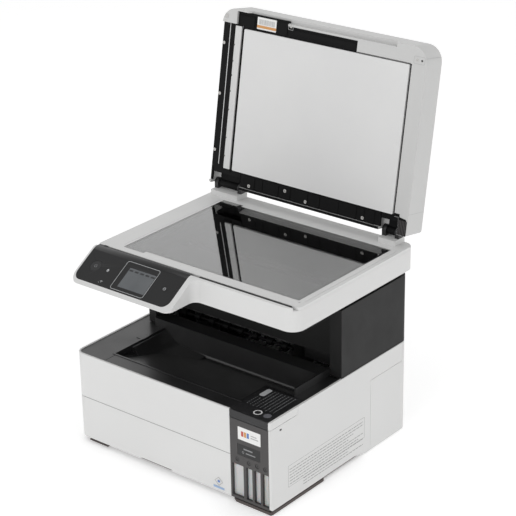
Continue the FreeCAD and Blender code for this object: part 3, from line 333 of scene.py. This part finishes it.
def dress_nodes():
    """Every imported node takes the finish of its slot, apart from those with one of their own."""
    for node in nodes.values():
        for held in node.material_slots:
            held.material = finishes[held.material.name.split(".")[0]]
    foot_height = 9.42 * MM
    foot_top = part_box("lid_brackets")[0].z + foot_height
    own = {
        "lid_brackets": two_tone("bracket_plastic", WHITE, BLACK, foot_top),
        # The lid shell is the base's white plastic made darker: painted shade on the lid's inner
        # side.
        "lid_shell": moulded("shaded_lid_white", (0.56, 0.56, 0.555), 0.45, 0.012),
        "engine_housing": moulded("housing_black", (0.013, 0.013, 0.013), 0.5, 0.1, specular=0.25),
        "output_tray": moulded("deck_black", (0.012, 0.012, 0.0125), 0.33, 0.1, specular=0.95),
    }
    # Besides the lid plate and knuckles, the scan carriage, its drive and rail, the rollers and the
    # under tray take this near-black over their own finishes: painted shade deep inside the
    # machine.
    for name in ("lid_plate", "lid_knuckles", "under_tray", "scan_carriage", "scan_drive",
                 "scan_rail", "eject_roller", "pinch_rollers"):
        own[name] = matt_black
    for name, finish in own.items():
        for held in nodes[name].material_slots:
            held.material = finish


# ---------------------------------------------------------------- mesh helpers

def piece(name, mesh, body, finish):
    """Finished piece that rides on a body."""
    mesh.materials.clear()
    mesh.materials.append(finish)
    made = bpy.data.objects.new(name, mesh)
    bpy.context.scene.collection.objects.link(made)
    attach(made, body)
    return made


def rounded(x0, x1, y0, y1, radius, steps=7):
    """Outline of a rectangle with round corners."""
    points = []
    corners = ((x1 - radius, y1 - radius), (x0 + radius, y1 - radius),
               (x0 + radius, y0 + radius), (x1 - radius, y0 + radius))
    for quarter, (cx, cy) in enumerate(corners):
        for i in range(steps + 1):
            angle = math.pi / 2 * (quarter + i / steps)
            points.append((cx + radius * math.cos(angle), cy + radius * math.sin(angle)))
    return points


def bar(x0, x1, y0, y1):
    return [(x0, y0), (x1, y0), (x1, y1), (x0, y1)]


def circle(x, y, radius, count=36):
    turns = [2 * math.pi * i / count for i in range(count)]
    return [(x + radius * math.cos(turn), y + radius * math.sin(turn)) for turn in turns]


def arc_band(x, y, radius, width, start_angle, end_angle):
    """Part of a ring, between two angles in degrees."""
    count = 28
    sweep = end_angle - start_angle
    turns = [math.radians(start_angle + sweep * i / count) for i in range(count + 1)]
    outer, inner = ([(x + r * math.cos(turn), y + r * math.sin(turn)) for turn in turns]
                    for r in (radius + width / 2, radius - width / 2))
    return outer + inner[::-1]


def plate_mesh(name, loops, thick, place, edge=0.0):
    """Flat plate of closed outlines, inner ones being holes, standing on its local floor."""
    curve = bpy.data.curves.new(name, "CURVE")
    curve.dimensions = "2D"
    curve.fill_mode = "BOTH"
    curve.extrude = thick / 2 - edge
    curve.bevel_depth = edge
    curve.bevel_resolution = 2
    curve.offset = -edge
    for loop in loops:
        spline = curve.splines.new("POLY")
        spline.points.add(len(loop) - 1)
        for point, (x, y) in zip(spline.points, loop):
            point.co = (x, y, 0, 1)
        spline.use_cyclic_u = True
    holder = bpy.data.objects.new(name, curve)
    mesh = bpy.data.meshes.new_from_object(holder)
    mesh.name = name
    bpy.data.objects.remove(holder)
    mesh.transform(place @ Matrix.Translation((0, 0, thick / 2)))
    return mesh


def plate(name, loops, thick, place, body, finish, edge=0.0):
    return piece(name, plate_mesh(name, loops, thick, place, edge), body, finish)


def joined(name, meshes, body, finish):
    """One piece from several meshes."""
    whole = bmesh.new()
    for mesh in meshes:
        whole.from_mesh(mesh)
        bpy.data.meshes.remove(mesh)
    merged = bpy.data.meshes.new(name)
    whole.to_mesh(merged)
    whole.free()
    return piece(name, merged, body, finish)


def plane_at(origin, right, up):
    """Matrix whose local X runs right, local Y runs up and local Z faces out."""
    x_axis = Vector(right).normalized()
    y_axis = Vector(up).normalized()
    z_axis = x_axis.cross(y_axis)
    matrix = Matrix((x_axis, y_axis, z_axis)).transposed().to_4x4()
    matrix.translation = Vector(origin)
    return matrix


def soften_edges():
    """Small rounds on the moulded covers, so that their edges catch the light."""
    rounds = {
        "front_cover": 0.7, "cassette_front": 0.7, "left_side_cover": 0.5, "right_side_cover": 0.5,
        "rear_panel": 0.6, "lid_shell": 0.8, "output_tray": 0.6,
        "engine_housing": 0.7, "ink_cover": 0.4, "ink_cover_cheek": 0.4, "ink_bezel": 0.35,
        "scanner_frame": 0.4, "input_tray": 0.5, "feeder_cover": 0.5, "document_mat": 0.6,
        "control_panel": 0.25, "lid_plate": 0.4, "lid_brackets": 0.5, "lid_knuckles": 0.5,
        "under_tray": 0.8, "rear_cover": 0.5, "feeder_bar": 0.4, "platen_glass": 0.25,
    }
    for name, radius in rounds.items():
        weld = nodes[name].modifiers.new("weld", "WELD")
        weld.merge_threshold = 0.00001
        soft = nodes[name].modifiers.new("soft_edges", "BEVEL")
        soft.width = radius * MM
        soft.segments = 2
        soft.limit_method = "ANGLE"
        soft.angle_limit = math.radians(40)
        soft.harden_normals = True
        soft.use_clamp_overlap = True


# ---------------------------------------------------------------- stage

def camera():
    """Looks down on the right front corner from a little above."""
    azimuth, elevation, roll = math.radians(39.814), math.radians(23.649), math.radians(1.213)
    distance = 2.696
    aim = Vector((-0.01775, 0.00154, 0.26723))
    back = Vector((math.sin(azimuth) * math.cos(elevation),
                   -math.cos(azimuth) * math.cos(elevation),
                   math.sin(elevation)))
    eye = bpy.data.objects.new("camera", bpy.data.cameras.new("camera"))
    eye.data.lens = 127.15
    eye.data.sensor_width = 36.0
    eye.data.shift_x = 0.0204
    eye.data.shift_y = 0.0031
    eye.data.clip_end = 60.0
    turn = back.to_track_quat("Z", "Y").to_matrix().to_4x4() @ Matrix.Rotation(-roll, 4, "Z")
    eye.matrix_world = Matrix.Translation(aim + back * distance) @ turn
    bpy.context.scene.collection.objects.link(eye)
    bpy.context.scene.camera = eye


def softbox(name, at, aim, size, watts):
    """Large square area light aimed at a point."""
    lamp = bpy.data.lights.new(name, "AREA")
    lamp.size = size
    lamp.energy = watts
    holder = bpy.data.objects.new(name, lamp)
    holder.matrix_world = Matrix.Translation(Vector(at)) @ (
        (Vector(at) - Vector(aim)).to_track_quat("Z", "Y").to_matrix().to_4x4())
    bpy.context.scene.collection.objects.link(holder)


def studio_walls():
    """Surroundings that are white near the floor and dimmer overhead."""
    world = bpy.data.worlds.new("studio")
    bpy.context.scene.world = world
    world.use_nodes = True
    tree = world.node_tree
    direction = tree.nodes.new("ShaderNodeTexCoord").outputs["Generated"]
    level = remap(tree, along_axis(tree, direction, "Z"), 1.12, 0.42, 0.0, 1.0)
    tree.links.new(level, tree.nodes["Background"].inputs["Strength"])
    tree.nodes["Background"].inputs["Color"].default_value = (1, 1, 1, 1)


def stage():
    """Pale floor, pale surroundings and soft lamps."""
    side = 30.0
    mesh = bpy.data.meshes.new("floor")
    mesh.from_pydata([(-side, -side, 0), (side, -side, 0), (side, side, 0), (-side, side, 0)], [],
                     [(0, 1, 2, 3)])
    paper_floor = printed("floor_paper", (0.93, 0.93, 0.93), 0.8)
    glow = paper_floor.node_tree.nodes["Principled BSDF"]
    glow.inputs["Emission Color"].default_value = (1, 1, 1, 1)
    glow.inputs["Emission Strength"].default_value = 0.34
    mesh.materials.append(paper_floor)
    floor = bpy.data.objects.new("floor", mesh)
    bpy.context.scene.collection.objects.link(floor)
    studio_walls()
    softbox("key", (0.35, -3.0, 1.4), (0, 0, 0.25), 1.8, 12)
    softbox("top", (0.3, 0.2, 3.2), (0, 0, 0.2), 2.2, 17)
    bpy.context.scene.view_settings.view_transform = "Standard"


# ---------------------------------------------------------------- planes to draw on

def top_face(z):
    return plane_at((0, 0, z), (1, 0, 0), (0, 1, 0))


def front_face(y):
    return plane_at((0, y, 0), (1, 0, 0), (0, 0, 1))


def right_face(x):
    """Local X runs to the back."""
    return plane_at((x, 0, 0), (0, 1, 0), (0, 0, 1))


def back_face(y):
    """Local X runs to the left."""
    return plane_at((0, y, 0), (-1, 0, 0), (0, 0, 1))


film = 0.12 * MM


def screw(place, x, y, radius):
    """Meshes of a pan head with a cross recess."""
    half, arm = radius * 0.16, radius * 0.62
    cross = [(half, half), (half, arm), (-half, arm), (-half, half), (-arm, half), (-arm, -half),
             (-half, -half), (-half, -arm), (half, -arm), (half, -half), (arm, -half), (arm, half)]
    cross = [(x + a, y + b) for a, b in cross]
    low = plate_mesh("head", [circle(x, y, radius)], radius * 0.2, place)
    top = plate_mesh("head", [circle(x, y, radius * 0.94), cross], radius * 0.22,
                     place @ Matrix.Translation((0, 0, radius * 0.19)), radius * 0.06)
    return [low, top]


# ---------------------------------------------------------------- control panel

screen_low, screen_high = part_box("display")
screen_middle = (screen_low + screen_high) / 2
button_low, button_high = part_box("power_button")
button_x = (button_low.x + button_high.x) / 2 - screen_middle.x
panel_slope = math.radians(32)
slope_up = Vector((0, math.cos(panel_slope), math.sin(panel_slope)))
slope_out = Vector((0, -math.sin(panel_slope), math.cos(panel_slope)))
ICON_ROW = 0.0023


def panel_place(lift=0.0):
    """Face of the control panel, with the middle of the display as its origin."""
    half_display, recess, clear = 0.6 * MM, 0.1 * MM, 0.02 * MM
    height = half_display + recess + clear + lift
    return plane_at(screen_middle + slope_out * height, (1, 0, 0), slope_up)


def panel_mark(name, loops, body="scanner", finish=None):
    plate(name, loops, film, panel_place(), body, finish or legend)


def panel_marks():
    """Plain printed marks beside the display, and its outline."""
    panel_mark("screen_outline", [rounded(-0.0361, 0.0270, -0.0237, 0.0272, 0.004),
                                  rounded(-0.0355, 0.0264, -0.0231, 0.0266, 0.0035)])
    x, y = -0.0580, ICON_ROW - 0.0004
    house = [(x - 0.0026, y), (x, y + 0.0026), (x + 0.0026, y), (x + 0.0016, y),
             (x + 0.0016, y - 0.0022), (x - 0.0016, y - 0.0022), (x - 0.0016, y)]
    panel_mark("home_mark", [house, bar(x - 0.0007, x + 0.0007, y - 0.0015, y + 0.0002)])
    x, y = -0.0560, -0.0198
    waves = [arc_band(x, y, radius, 0.0005, 35, 145) for radius in (0.0014, 0.0027)]
    panel_mark("link_mark", waves + [circle(x, y, 0.0004, 16)])
    panel_mark("status_lamp", [rounded(x - 0.0045, x - 0.0025, y - 0.0012, y - 0.0006, 0.00025, 3)])
    x, y = 0.0510, ICON_ROW
    panel_mark("info_mark", [circle(x, y, 0.0023), circle(x, y, 0.0018), circle(x, y, 0.0005, 16)])
    panel_mark("info_halo", [circle(x, y, 0.0056, 48), circle(x, y, 0.0053, 48)], finish=dark_seam)
    sign = [arc_band(button_x, ICON_ROW + 0.0003, 0.0022, 0.0005, 122, 418),
            bar(button_x - 0.00025, button_x + 0.00025, ICON_ROW + 0.0006, ICON_ROW + 0.0034)]
    panel_mark("power_mark", sign, "power_button", finish=faint_legend)


def display_icons():
    """Empty tiles faintly visible behind the unlit display."""
    tiles = []
    for column in range(5):
        x = -0.0205 + column * 0.0103
        tiles.append(rounded(x - 0.0036, x + 0.0036, 0.0118, 0.0146, 0.0006, 3))
    plate("display_tiles", tiles, 0.05 * MM, panel_place(-0.12 * MM), "scanner", panel_shadow)


# ---------------------------------------------------------------- scanner bed

frame_low, frame_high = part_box("scanner_frame")
base_low, base_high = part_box("scanner_base")
glass_low, glass_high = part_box("platen_glass")
RIM_WALL = 5.6 * MM


def bed_liner():
    """Black tray under the glass."""
    left, right = base_low.x + RIM_WALL, base_high.x - RIM_WALL
    front, back = frame_low.y + RIM_WALL - 3 * MM, base_high.y - RIM_WALL
    floor_z = base_low.z + 2.55 * MM
    wall, floor_thick, below_frame = 0.4 * MM, 0.3 * MM, 0.4 * MM
    outer = rounded(left, right, front, back, 0.0190)
    inner = rounded(left + wall, right - wall, front + wall, back - wall, 0.0186)
    wall_height = frame_low.z - below_frame - floor_z
    meshes = [plate_mesh("liner", [outer], floor_thick, top_face(floor_z)),
              plate_mesh("liner", [outer, inner], wall_height, top_face(floor_z + floor_thick))]
    joined("bed_liner", meshes, "scanner", matt_black)


def bed_trim():
    """Strips, gap and marks round the glass; the gap is a black sheet of painted shade and one mark
    is a painted shadow beside the strip.
    """
    top = frame_high.z
    strip_front, strip_back = glass_low.y + 7 * MM, glass_high.y - 3 * MM
    strip = bar(glass_low.x - 4.2 * MM, glass_low.x - 0.5 * MM, strip_front, strip_back)
    plate("bed_strip", [strip], 0.3 * MM, top_face(top), "scanner", bright_strip)
    # painted shade: a black sheet just below the top fills the gap in front of the frame
    gap_back = frame_low.y - 0.15 * MM
    gap_line = bar(0.010, base_high.x - 13 * MM, gap_back - 5.6 * MM, gap_back)
    plate("front_gap_shade", [gap_line], 0.6 * MM, top_face(top - 1.5 * MM), "scanner", dark_seam)
    edge = glass_low.x - 4.6 * MM
    shadow = bar(edge - 0.5 * MM, edge, strip_front, strip_back)
    corner_x, corner_y = glass_high.x + 4.2 * MM, glass_low.y + 1.5 * MM
    arrow = [(corner_x - 0.0018, corner_y + 0.0004), (corner_x + 0.0014, corner_y + 0.0020),
             (corner_x + 0.0006, corner_y - 0.0016)]
    tick_gap = 0.0298
    ticks = [bar(x - 0.00015, x + 0.00015, glass_low.y - 1.8 * MM, glass_low.y - 0.6 * MM)
             for x in (glass_high.x - tick_gap * i for i in range(1, 8))]
    for name, loops in (("strip_shadow", [shadow]), ("corner_arrow", [arrow]),
                        ("bed_ticks", ticks)):
        plate(name, loops, film, top_face(top), "scanner", label_grey)
    pad = rounded(-0.1755, -0.1675, gap_back - 3.6 * MM, gap_back + 0.4 * MM, 0.0012, 4)
    plate("lid_latch_pad", [pad], 0.5 * MM, top_face(top - 0.35 * MM), "scanner", dark_seam,
          0.12 * MM)


# ---------------------------------------------------------------- lid, inner side

hinge = next(j for j in frame["joints"] if j["name"] == "lid_hinge")
hinge_at = Vector(hinge["pos_m"])
lid_turn = Matrix.Rotation(math.radians(-hinge["range_deg"][1]), 3, "X")
lid_up = lid_turn @ Vector((0, -1, 0))
lid_unturn = lid_turn.inverted()


def closed_box(name):
    """Lowest and highest corner of a lid node with the lid closed."""
    points = [hinge_at + lid_unturn @ (v.co - hinge_at) for v in nodes[name].data.vertices]
    low = Vector((min(p[i] for p in points) for i in range(3)))
    high = Vector((max(p[i] for p in points) for i in range(3)))
    return low, high


mat_low, mat_high = closed_box("document_mat")
mat_span = mat_high.y - mat_low.y
plate_low = closed_box("lid_plate")[0]
shell_low, shell_high = closed_box("lid_shell")
lid_bar_low = closed_box("feeder_bar")[0]


def lid_face(depth_z):
    """Plane on the lid's inner side, local Y running up from the mat's lower edge."""
    closed = Vector((0, mat_high.y, depth_z))
    return plane_at(hinge_at + lid_turn @ (closed - hinge_at), (1, 0, 0), lid_up)


def on_lid(name, loops, thick, depth_z, finish, edge=0.0):
    plate(name, loops, thick, lid_face(depth_z), "lid", finish, edge)


def lid_left_strip():
    """Strip down the left side: a painted highlight along the edge, raised rail and the studs of
    the light bar.
    """
    rim = plate_low.z
    top = mat_span + 4 * MM
    # painted highlight: a pale line stands for the light caught by the rim's inner edge
    line = bar(-0.1742, -0.1731, 0.004, top)
    on_lid("lid_edge_highlight", [line], 0.4 * MM, rim, bright_strip)
    rail = rounded(-0.1715, -0.1640, 0.002, top, 0.001, 3)
    on_lid("lid_rail", [rail], 1.1 * MM, rim, matt_black, 0.3 * MM)
    studs = [circle(-0.1618, height, 0.0013, 20)
             for height in (0.0195, 0.0485, 0.0925, 0.1215, 0.1465, 0.1685, 0.1935)]
    on_lid("bar_studs", studs, 0.4 * MM, lid_bar_low.z, dark_seam, 0.1 * MM)
    ends = [rounded(-0.1640, -0.1490, y0, y0 + 0.004, 0.001, 4) for y0 in (-0.0045, top - 0.0035)]
    on_lid("bar_ends", ends, 1.4 * MM, rim, matt_black, 0.3 * MM)


def lid_label():
    """Blank label with plain bars on the upper band."""
    left, right, low, high = -0.1230, -0.0865, 0.2242, 0.2425
    rim, over = plate_low.z, plate_low.z - film
    label = rounded(left, right, low, high, 0.0008, 3)
    on_lid("lid_label", [label], film, rim, paper)
    band = bar(left, right, low + 0.0022, low + 0.0062)
    on_lid("lid_label_band", [band], film, over, label_amber)
    bars = []
    x = left + 0.0035
    while x < right - 0.0035:
        width = rng.uniform(0.0003, 0.0011)
        bars.append(bar(x, x + width, low + 0.0076, low + 0.0152))
        x += width + rng.uniform(0.0005, 0.0010)
    on_lid("lid_label_bars", bars, film, over, label_grey)
    pad = rounded(-0.1600, -0.1480, low - 0.0040, low + 0.0005, 0.0022)
    on_lid("lid_pad", [pad], 1.0 * MM, rim, disc_grey, 0.3 * MM)


def lid_bands():
    """Ribs and steps of the black plate above and below the mat."""
    rim = plate_low.z
    x, last, gap = -0.118, 0.136, 0.0022
    ribs = []
    while x < 0.120:
        width = min(rng.uniform(0.012, 0.034), last - x)
        ribs.append(rounded(x, x + width, -0.0245, -0.0035, 0.0008, 3))
        x += width + gap
    on_lid("lower_band_ribs", ribs, 0.7 * MM, rim, matt_black, 0.2 * MM)
    steps = [rounded(-0.0575, 0.0620, mat_span + 0.006, mat_span + 0.0135, 0.001, 3),
             rounded(-0.1560, -0.1275, mat_span + 0.004, mat_span + 0.0200, 0.001, 3),
             rounded(-0.0830, -0.0650, mat_span + 0.003, mat_span + 0.0215, 0.001, 3)]
    on_lid("upper_band_steps", steps, 0.9 * MM, rim, matt_black, 0.25 * MM)
    low_rim = shell_high.y - 4 * MM - mat_high.y
    band = bar(-0.1275, 0.1375, -low_rim - 3.9 * MM, -low_rim + 0.2 * MM)
    on_lid("lower_rim_band", [band], film, shell_low.z, matt_black)
    gap_line = bar(0.0670, mat_high.x + 0.002, mat_span + 0.0018, mat_span + 0.0024)
    on_lid("mat_top_gap", [gap_line], 0.1 * MM, shell_low.z, dark_seam)


def lid_fixings():
    """Screws and small recesses in the white rim."""
    rim = shell_low.z
    place = lid_face(rim)
    sunk = place @ Matrix.Translation((0, 0, -0.65 * MM))
    meshes = []
    for x, y, radius in ((-0.1800, mat_span + 0.0145, 0.0026), (-0.1810, mat_span + 0.0070, 0.0020),
                         (-0.0565, mat_span + 0.0185, 0.0026), (0.1715, mat_span + 0.0085, 0.0026),
                         (0.1760, -0.0245, 0.0024)):
        meshes += screw(sunk, x, y, radius)
    joined("rim_screws", meshes, "lid", finishes["screw_steel"])
    seats = [[circle(-0.1800, mat_span + 0.0145, radius) for radius in (0.0040, 0.0034)],
             [rounded(0.1655, 0.1845, mat_span + 0.0030, mat_span + 0.0140, 0.0020),
              rounded(0.1660, 0.1840, mat_span + 0.0035, mat_span + 0.0135, 0.0016)],
             [rounded(-0.0610, -0.0520, mat_span + 0.0130, mat_span + 0.0225, 0.0010),
              rounded(-0.0605, -0.0525, mat_span + 0.0135, mat_span + 0.0220, 0.0006)]]
    meshes = [plate_mesh("seat", loops, film, place) for loops in seats]
    joined("rim_recess_lines", meshes, "lid", label_grey)
    holes = [circle(0.1795, mat_span + 0.0085, 0.0016, 24),
             circle(-0.1745, mat_span + 0.0025, 0.0010, 16)]
    on_lid("rim_holes", holes, film, rim, dark_seam)


def lid_hinge_block():
    """Black block beside the right hinge."""
    rim, thick = shell_low.z, 0.45 * MM
    block = [(0.1632, 0.0035), (0.1720, 0.0035), (0.1725, -0.0010), (0.1835, -0.0025),
             (0.1860, -0.0060), (0.1860, -0.0270), (0.1709, -0.0270), (0.1709, -0.0012),
             (0.1632, -0.0012)]
    on_lid("hinge_block", [block], thick, rim, matt_black, 0.12 * MM)
    ribs = [rounded(x, x + 0.0016, -0.0265, -0.0050, 0.0004, 3)
            for x in (0.1722, 0.1749, 0.1776, 0.1803, 0.1830)]
    on_lid("hinge_block_ribs", ribs, 0.12 * MM, rim - thick, finishes["grey_bezel"])


def lid_hinge_covers():
    """Black covers across the hinge notches, just in front of the bracket feet."""
    thick = 1.5 * MM
    covers = [bar(-0.1825, -0.1285, -0.0095, -0.0012), bar(0.1385, 0.1695, -0.0095, -0.0012)]
    on_lid("hinge_covers", covers, thick, plate_low.z + thick, matt_black, 0.2 * MM)


def lid_side_seams():
    """Joints between the mouldings of the lid, across its right side."""
    corner = Vector((shell_high.x, mat_high.y, shell_low.z))
    origin = hinge_at + lid_turn @ (corner - hinge_at)
    place = plane_at(origin, lid_turn @ Vector((0, 0, 1)), lid_up)
    tall = shell_high.z - shell_low.z
    lines = [bar(0.0006, tall - 0.0030, height - 0.00025, height + 0.00025)
             for height in (0.0055, mat_span + 0.0130)]
    plate("lid_side_seams", lines, 0.01 * MM, place, "lid", label_grey)


# ---------------------------------------------------------------- base front

cover_low, cover_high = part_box("front_cover")
cassette_low, cassette_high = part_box("cassette_front")
bezel_low, bezel_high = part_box("ink_bezel")
ink_low, ink_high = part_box("ink_cover")
side_low, side_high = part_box("right_side_cover")
tray_low, tray_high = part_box("output_tray")


def base_seams():
    """Dark strips over the gaps between the covers: painted shade."""
    seam_z = cover_low.z
    # painted shade: a grey strip stands for the shade in the seam under the front cover
    seam = bar(cover_low.x + 0.014, cover_high.x - 0.001, seam_z - 0.55 * MM, seam_z + 0.25 * MM)
    plate("cassette_gap_shade", [seam], film, front_face(cover_low.y), "base", side_print)
    seam_z = bezel_high.z
    # painted shade: a black strip stands for the shade in the seam above the ink bezel
    seam = bar(bezel_low.x + 0.0002, bezel_high.x - 0.0002, seam_z - 0.9 * MM, seam_z + 0.25 * MM)
    plate("ink_cover_gap_shade", [seam], 0.15 * MM, front_face(bezel_low.y), "base", dark_seam)
    y, z = side_low.y + 0.0232, 0.128
    notch = bar(y - 0.0022, y + 0.0022, z - 0.0014, z + 0.0014)
    plate("side_notch", [notch], film, right_face(side_high.x - 0.7 * MM), "base", dark_seam)


def cassette_sticker():
    """Small blank sticker low on the right of the cassette."""
    face = front_face(cassette_low.y)
    x, z = cassette_high.x - 0.0225, 0.0235
    lozenge = [[(x - 0.0078, z), (x, z + 0.0072), (x + 0.0078, z), (x, z - 0.0072)],
               [(x - 0.0066, z), (x, z - 0.0061), (x + 0.0066, z), (x, z + 0.0061)]]
    plate("sticker_lozenge", lozenge, film, face, "cassette", label_grey)
    dot = rounded(x - 0.0022, x + 0.0022, z - 0.0018, z + 0.0018, 0.0008, 4)
    plate("sticker_dot", [dot], film, face, "cassette", label_blue)
    band = bar(x - 0.0100, x + 0.0100, 0.0118, 0.0152)
    plate("sticker_band", [band], film, face, "cassette", label_pale)


def bezel_sticker():
    """Blank sticker with three colour blocks on the ink bezel."""
    left, right, low, high = bezel_low.x + 0.0145, bezel_low.x + 0.0550, 0.1050, 0.1250
    sticker = rounded(left, right, low, high, 0.0008, 3)
    plate("bezel_sticker", [sticker], film, front_face(bezel_low.y), "base", paper)
    over = front_face(bezel_low.y - film)
    blocks = [(label_red, left + 0.006, left + 0.010), (label_amber, left + 0.011, left + 0.015),
              (label_blue, left + 0.016, left + 0.020)]
    for number, (finish, x0, x1) in enumerate(blocks):
        block = bar(x0, x1, low + 0.006, high - 0.006)
        plate(f"sticker_block_{number}", [block], film, over, "base", finish)
    bars = [bar(left + 0.023, right - 0.004, low + 0.0075, low + 0.0090),
            bar(left + 0.023, right - 0.007, low + 0.0110, low + 0.0125)]
    plate("sticker_bars", bars, film, over, "base", label_grey)


def bezel_plate():
    """Dark plate sunk in the ink bezel, with plain bars and a ring on it."""
    sunk_y = bezel_low.y + 0.4 * MM
    left, right = bezel_low.x + 0.0130, bezel_low.x + 0.0540
    plate("bezel_plate", [bar(left + 0.0003, right - 0.0003, 0.0803, 0.0977)], film,
          front_face(sunk_y), "base", finishes["panel_black"])
    outlines = [[bar(left + 0.011, left + 0.027, 0.0905, 0.0925)],
                [bar(left + 0.015, left + 0.032, 0.0850, 0.0865)],
                [circle(left + 0.0100, 0.0858, radius, 24) for radius in (0.0019, 0.0012)]]
    marks = [plate_mesh("mark", loops, film, front_face(sunk_y - film)) for loops in outlines]
    joined("bezel_plate_marks", marks, "base", faint_legend)


def tank_marks():
    """Ring and drop above each ink tank, and its level lines."""
    ring_z, face = 0.072, front_face(bezel_low.y + 0.5 * MM)
    signs, levels = [], []
    for tank in ("black", "cyan", "magenta", "yellow"):
        low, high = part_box("ink_tank_" + tank)
        middle = (low.x + high.x) / 2
        ring = [circle(middle, ring_z, 0.0035), circle(middle, ring_z, 0.0028)]
        drop = [(middle - 0.0011, 0.0712), (middle, 0.0738), (middle + 0.0011, 0.0712),
                (middle, 0.0702)]
        signs += [plate_mesh("ring", ring, film, face), plate_mesh("drop", [drop], film, face)]
        for height in (0.018, 0.059):
            line = bar(low.x + 0.0022, low.x + 0.0060, height, height + 0.0004)
            levels.append(plate_mesh("level", [line], film, front_face(low.y - 0.02 * MM)))
    joined("tank_marks", signs, "base", dark_seam)
    joined("level_marks", levels, "base", label_grey)


def ink_cover_label():
    """Printed guide on the ink cover: blank tag, rows of dashes, a ring and a disc."""
    top = ink_high.z
    left, front = ink_low.x, ink_low.y
    tag = rounded(left + 0.0065, left + 0.0155, front + 0.0565, front + 0.0785, 0.0030)
    plate("cover_tag", [tag], film, top_face(top), "ink_cover", legend)
    dashes = []
    for column in range(7):
        x = left + 0.0200 + 0.0060 * column
        y = front + 0.0775
        end = front + (0.0300 if column > 1 else 0.0500)
        while y > end:
            long = rng.uniform(0.0016, 0.0042)
            dashes.append(bar(x, x + 0.0011, y - long, y))
            y -= long + 0.0012
    for column in range(9):
        x = left + 0.0080 + 0.0060 * column
        y = front + 0.0520 - 0.0010 * column
        while y > front + 0.0270:
            long = rng.uniform(0.0014, 0.0034)
            dashes.append(bar(x, x + 0.0008, y - long, y))
            y -= long + 0.0020
    plate("cover_dashes", dashes, film, top_face(top), "ink_cover", faint_legend)
    ring = [circle(left + 0.0385, front + 0.0155, radius, 48) for radius in (0.0066, 0.0048)]
    plate("cover_ring", ring, film, top_face(top), "ink_cover", bright_strip)
    disc = circle(left + 0.0555, front + 0.0155, 0.0058, 48)
    plate("cover_disc", [disc], film, top_face(top), "ink_cover", disc_grey)


def deck_lines():
    """Seam, tab outline and paper stop on the output deck."""
    wall_above, deck_drop = 11.2 * MM, 1.2 * MM
    deck = tray_high.z - wall_above - deck_drop
    seam_x = tray_low.x + 0.0525
    lines = [bar(seam_x - 0.0004, seam_x + 0.0004, tray_low.y + 0.001, tray_low.y + 0.0270)]
    tab_x, tab_y = tray_low.x + 0.0386, -0.1120
    lines += [bar(tab_x - 0.0009, tab_x - 0.0001, tab_y, tab_y + 0.0150),
              bar(tab_x, tab_x + 0.0115, tab_y - 0.0009, tab_y - 0.0001),
              bar(tab_x, tab_x + 0.0115, tab_y + 0.0151, tab_y + 0.0159)]
    plate("deck_seams", lines, 0.05 * MM, top_face(deck), "base", matt_black)


def side_lines():
    """Plain ruled block moulded low on the right side."""
    left, right = side_low.y + 0.0390, side_low.y + 0.2200
    rows = []
    for row in range(9):
        z = 0.0560 - 0.0047 * row
        x = left + (0.003 if row < 6 else 0.034)
        end = right - 0.004 - (0.0 if row in (0, 1, 6) else 0.012 * (row % 4))
        while x < end:
            long = rng.uniform(0.0030, 0.0090)
            rows.append(bar(x, min(x + long, end), z, z + 0.0010))
            x += long + 0.0014
    frame_lines = [bar(left, right, 0.0290, 0.0630),
                   bar(left + 0.0004, right - 0.0004, 0.0294, 0.0626)]
    for name, loops in (("side_rows", rows), ("side_box", frame_lines)):
        plate(name, loops, 0.04 * MM, right_face(side_high.x), "base", side_print)


# ---------------------------------------------------------------- back

rear_face_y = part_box("rear_panel")[1].y


def back_details():
    """Screws, blank rating label and vent slots on the back."""
    face = back_face(rear_face_y - 0.01 * MM)
    meshes = []
    for x, z in ((-0.150, 0.128), (0.150, 0.128), (-0.150, 0.060), (0.0, 0.128), (0.160, 0.060),
                 (0.020, 0.022)):
        meshes += screw(face, -x, z, 0.0032)
    joined("back_screws", meshes, "base", finishes["screw_steel"])
    label = rounded(-0.020, 0.070, 0.014, 0.034, 0.001, 3)
    plate("rating_label", [label], film, face, "base", paper)
    bars = []
    for row in range(5):
        rise = 0.0032 * row
        bars.append(bar(-0.014, 0.064 - 0.012 * (row % 3), 0.0175 + rise, 0.0182 + rise))
    plate("rating_bars", bars, film, back_face(rear_face_y + film), "base", label_grey)
    slots = [rounded(x, x + 0.0024, 0.118, 0.138, 0.0012, 4)
             for x in (0.052 + 0.0052 * i for i in range(14))]
    plate("back_vents", slots, 0.05 * MM, face, "base", dark_seam)


dress_nodes()
soften_edges()
camera()
stage()
panel_marks()
display_icons()
bed_liner()
bed_trim()
lid_left_strip()
lid_label()
lid_bands()
lid_fixings()
lid_hinge_block()
lid_hinge_covers()
lid_side_seams()
base_seams()
cassette_sticker()
bezel_sticker()
bezel_plate()
tank_marks()
ink_cover_label()
deck_lines()
side_lines()
back_details()
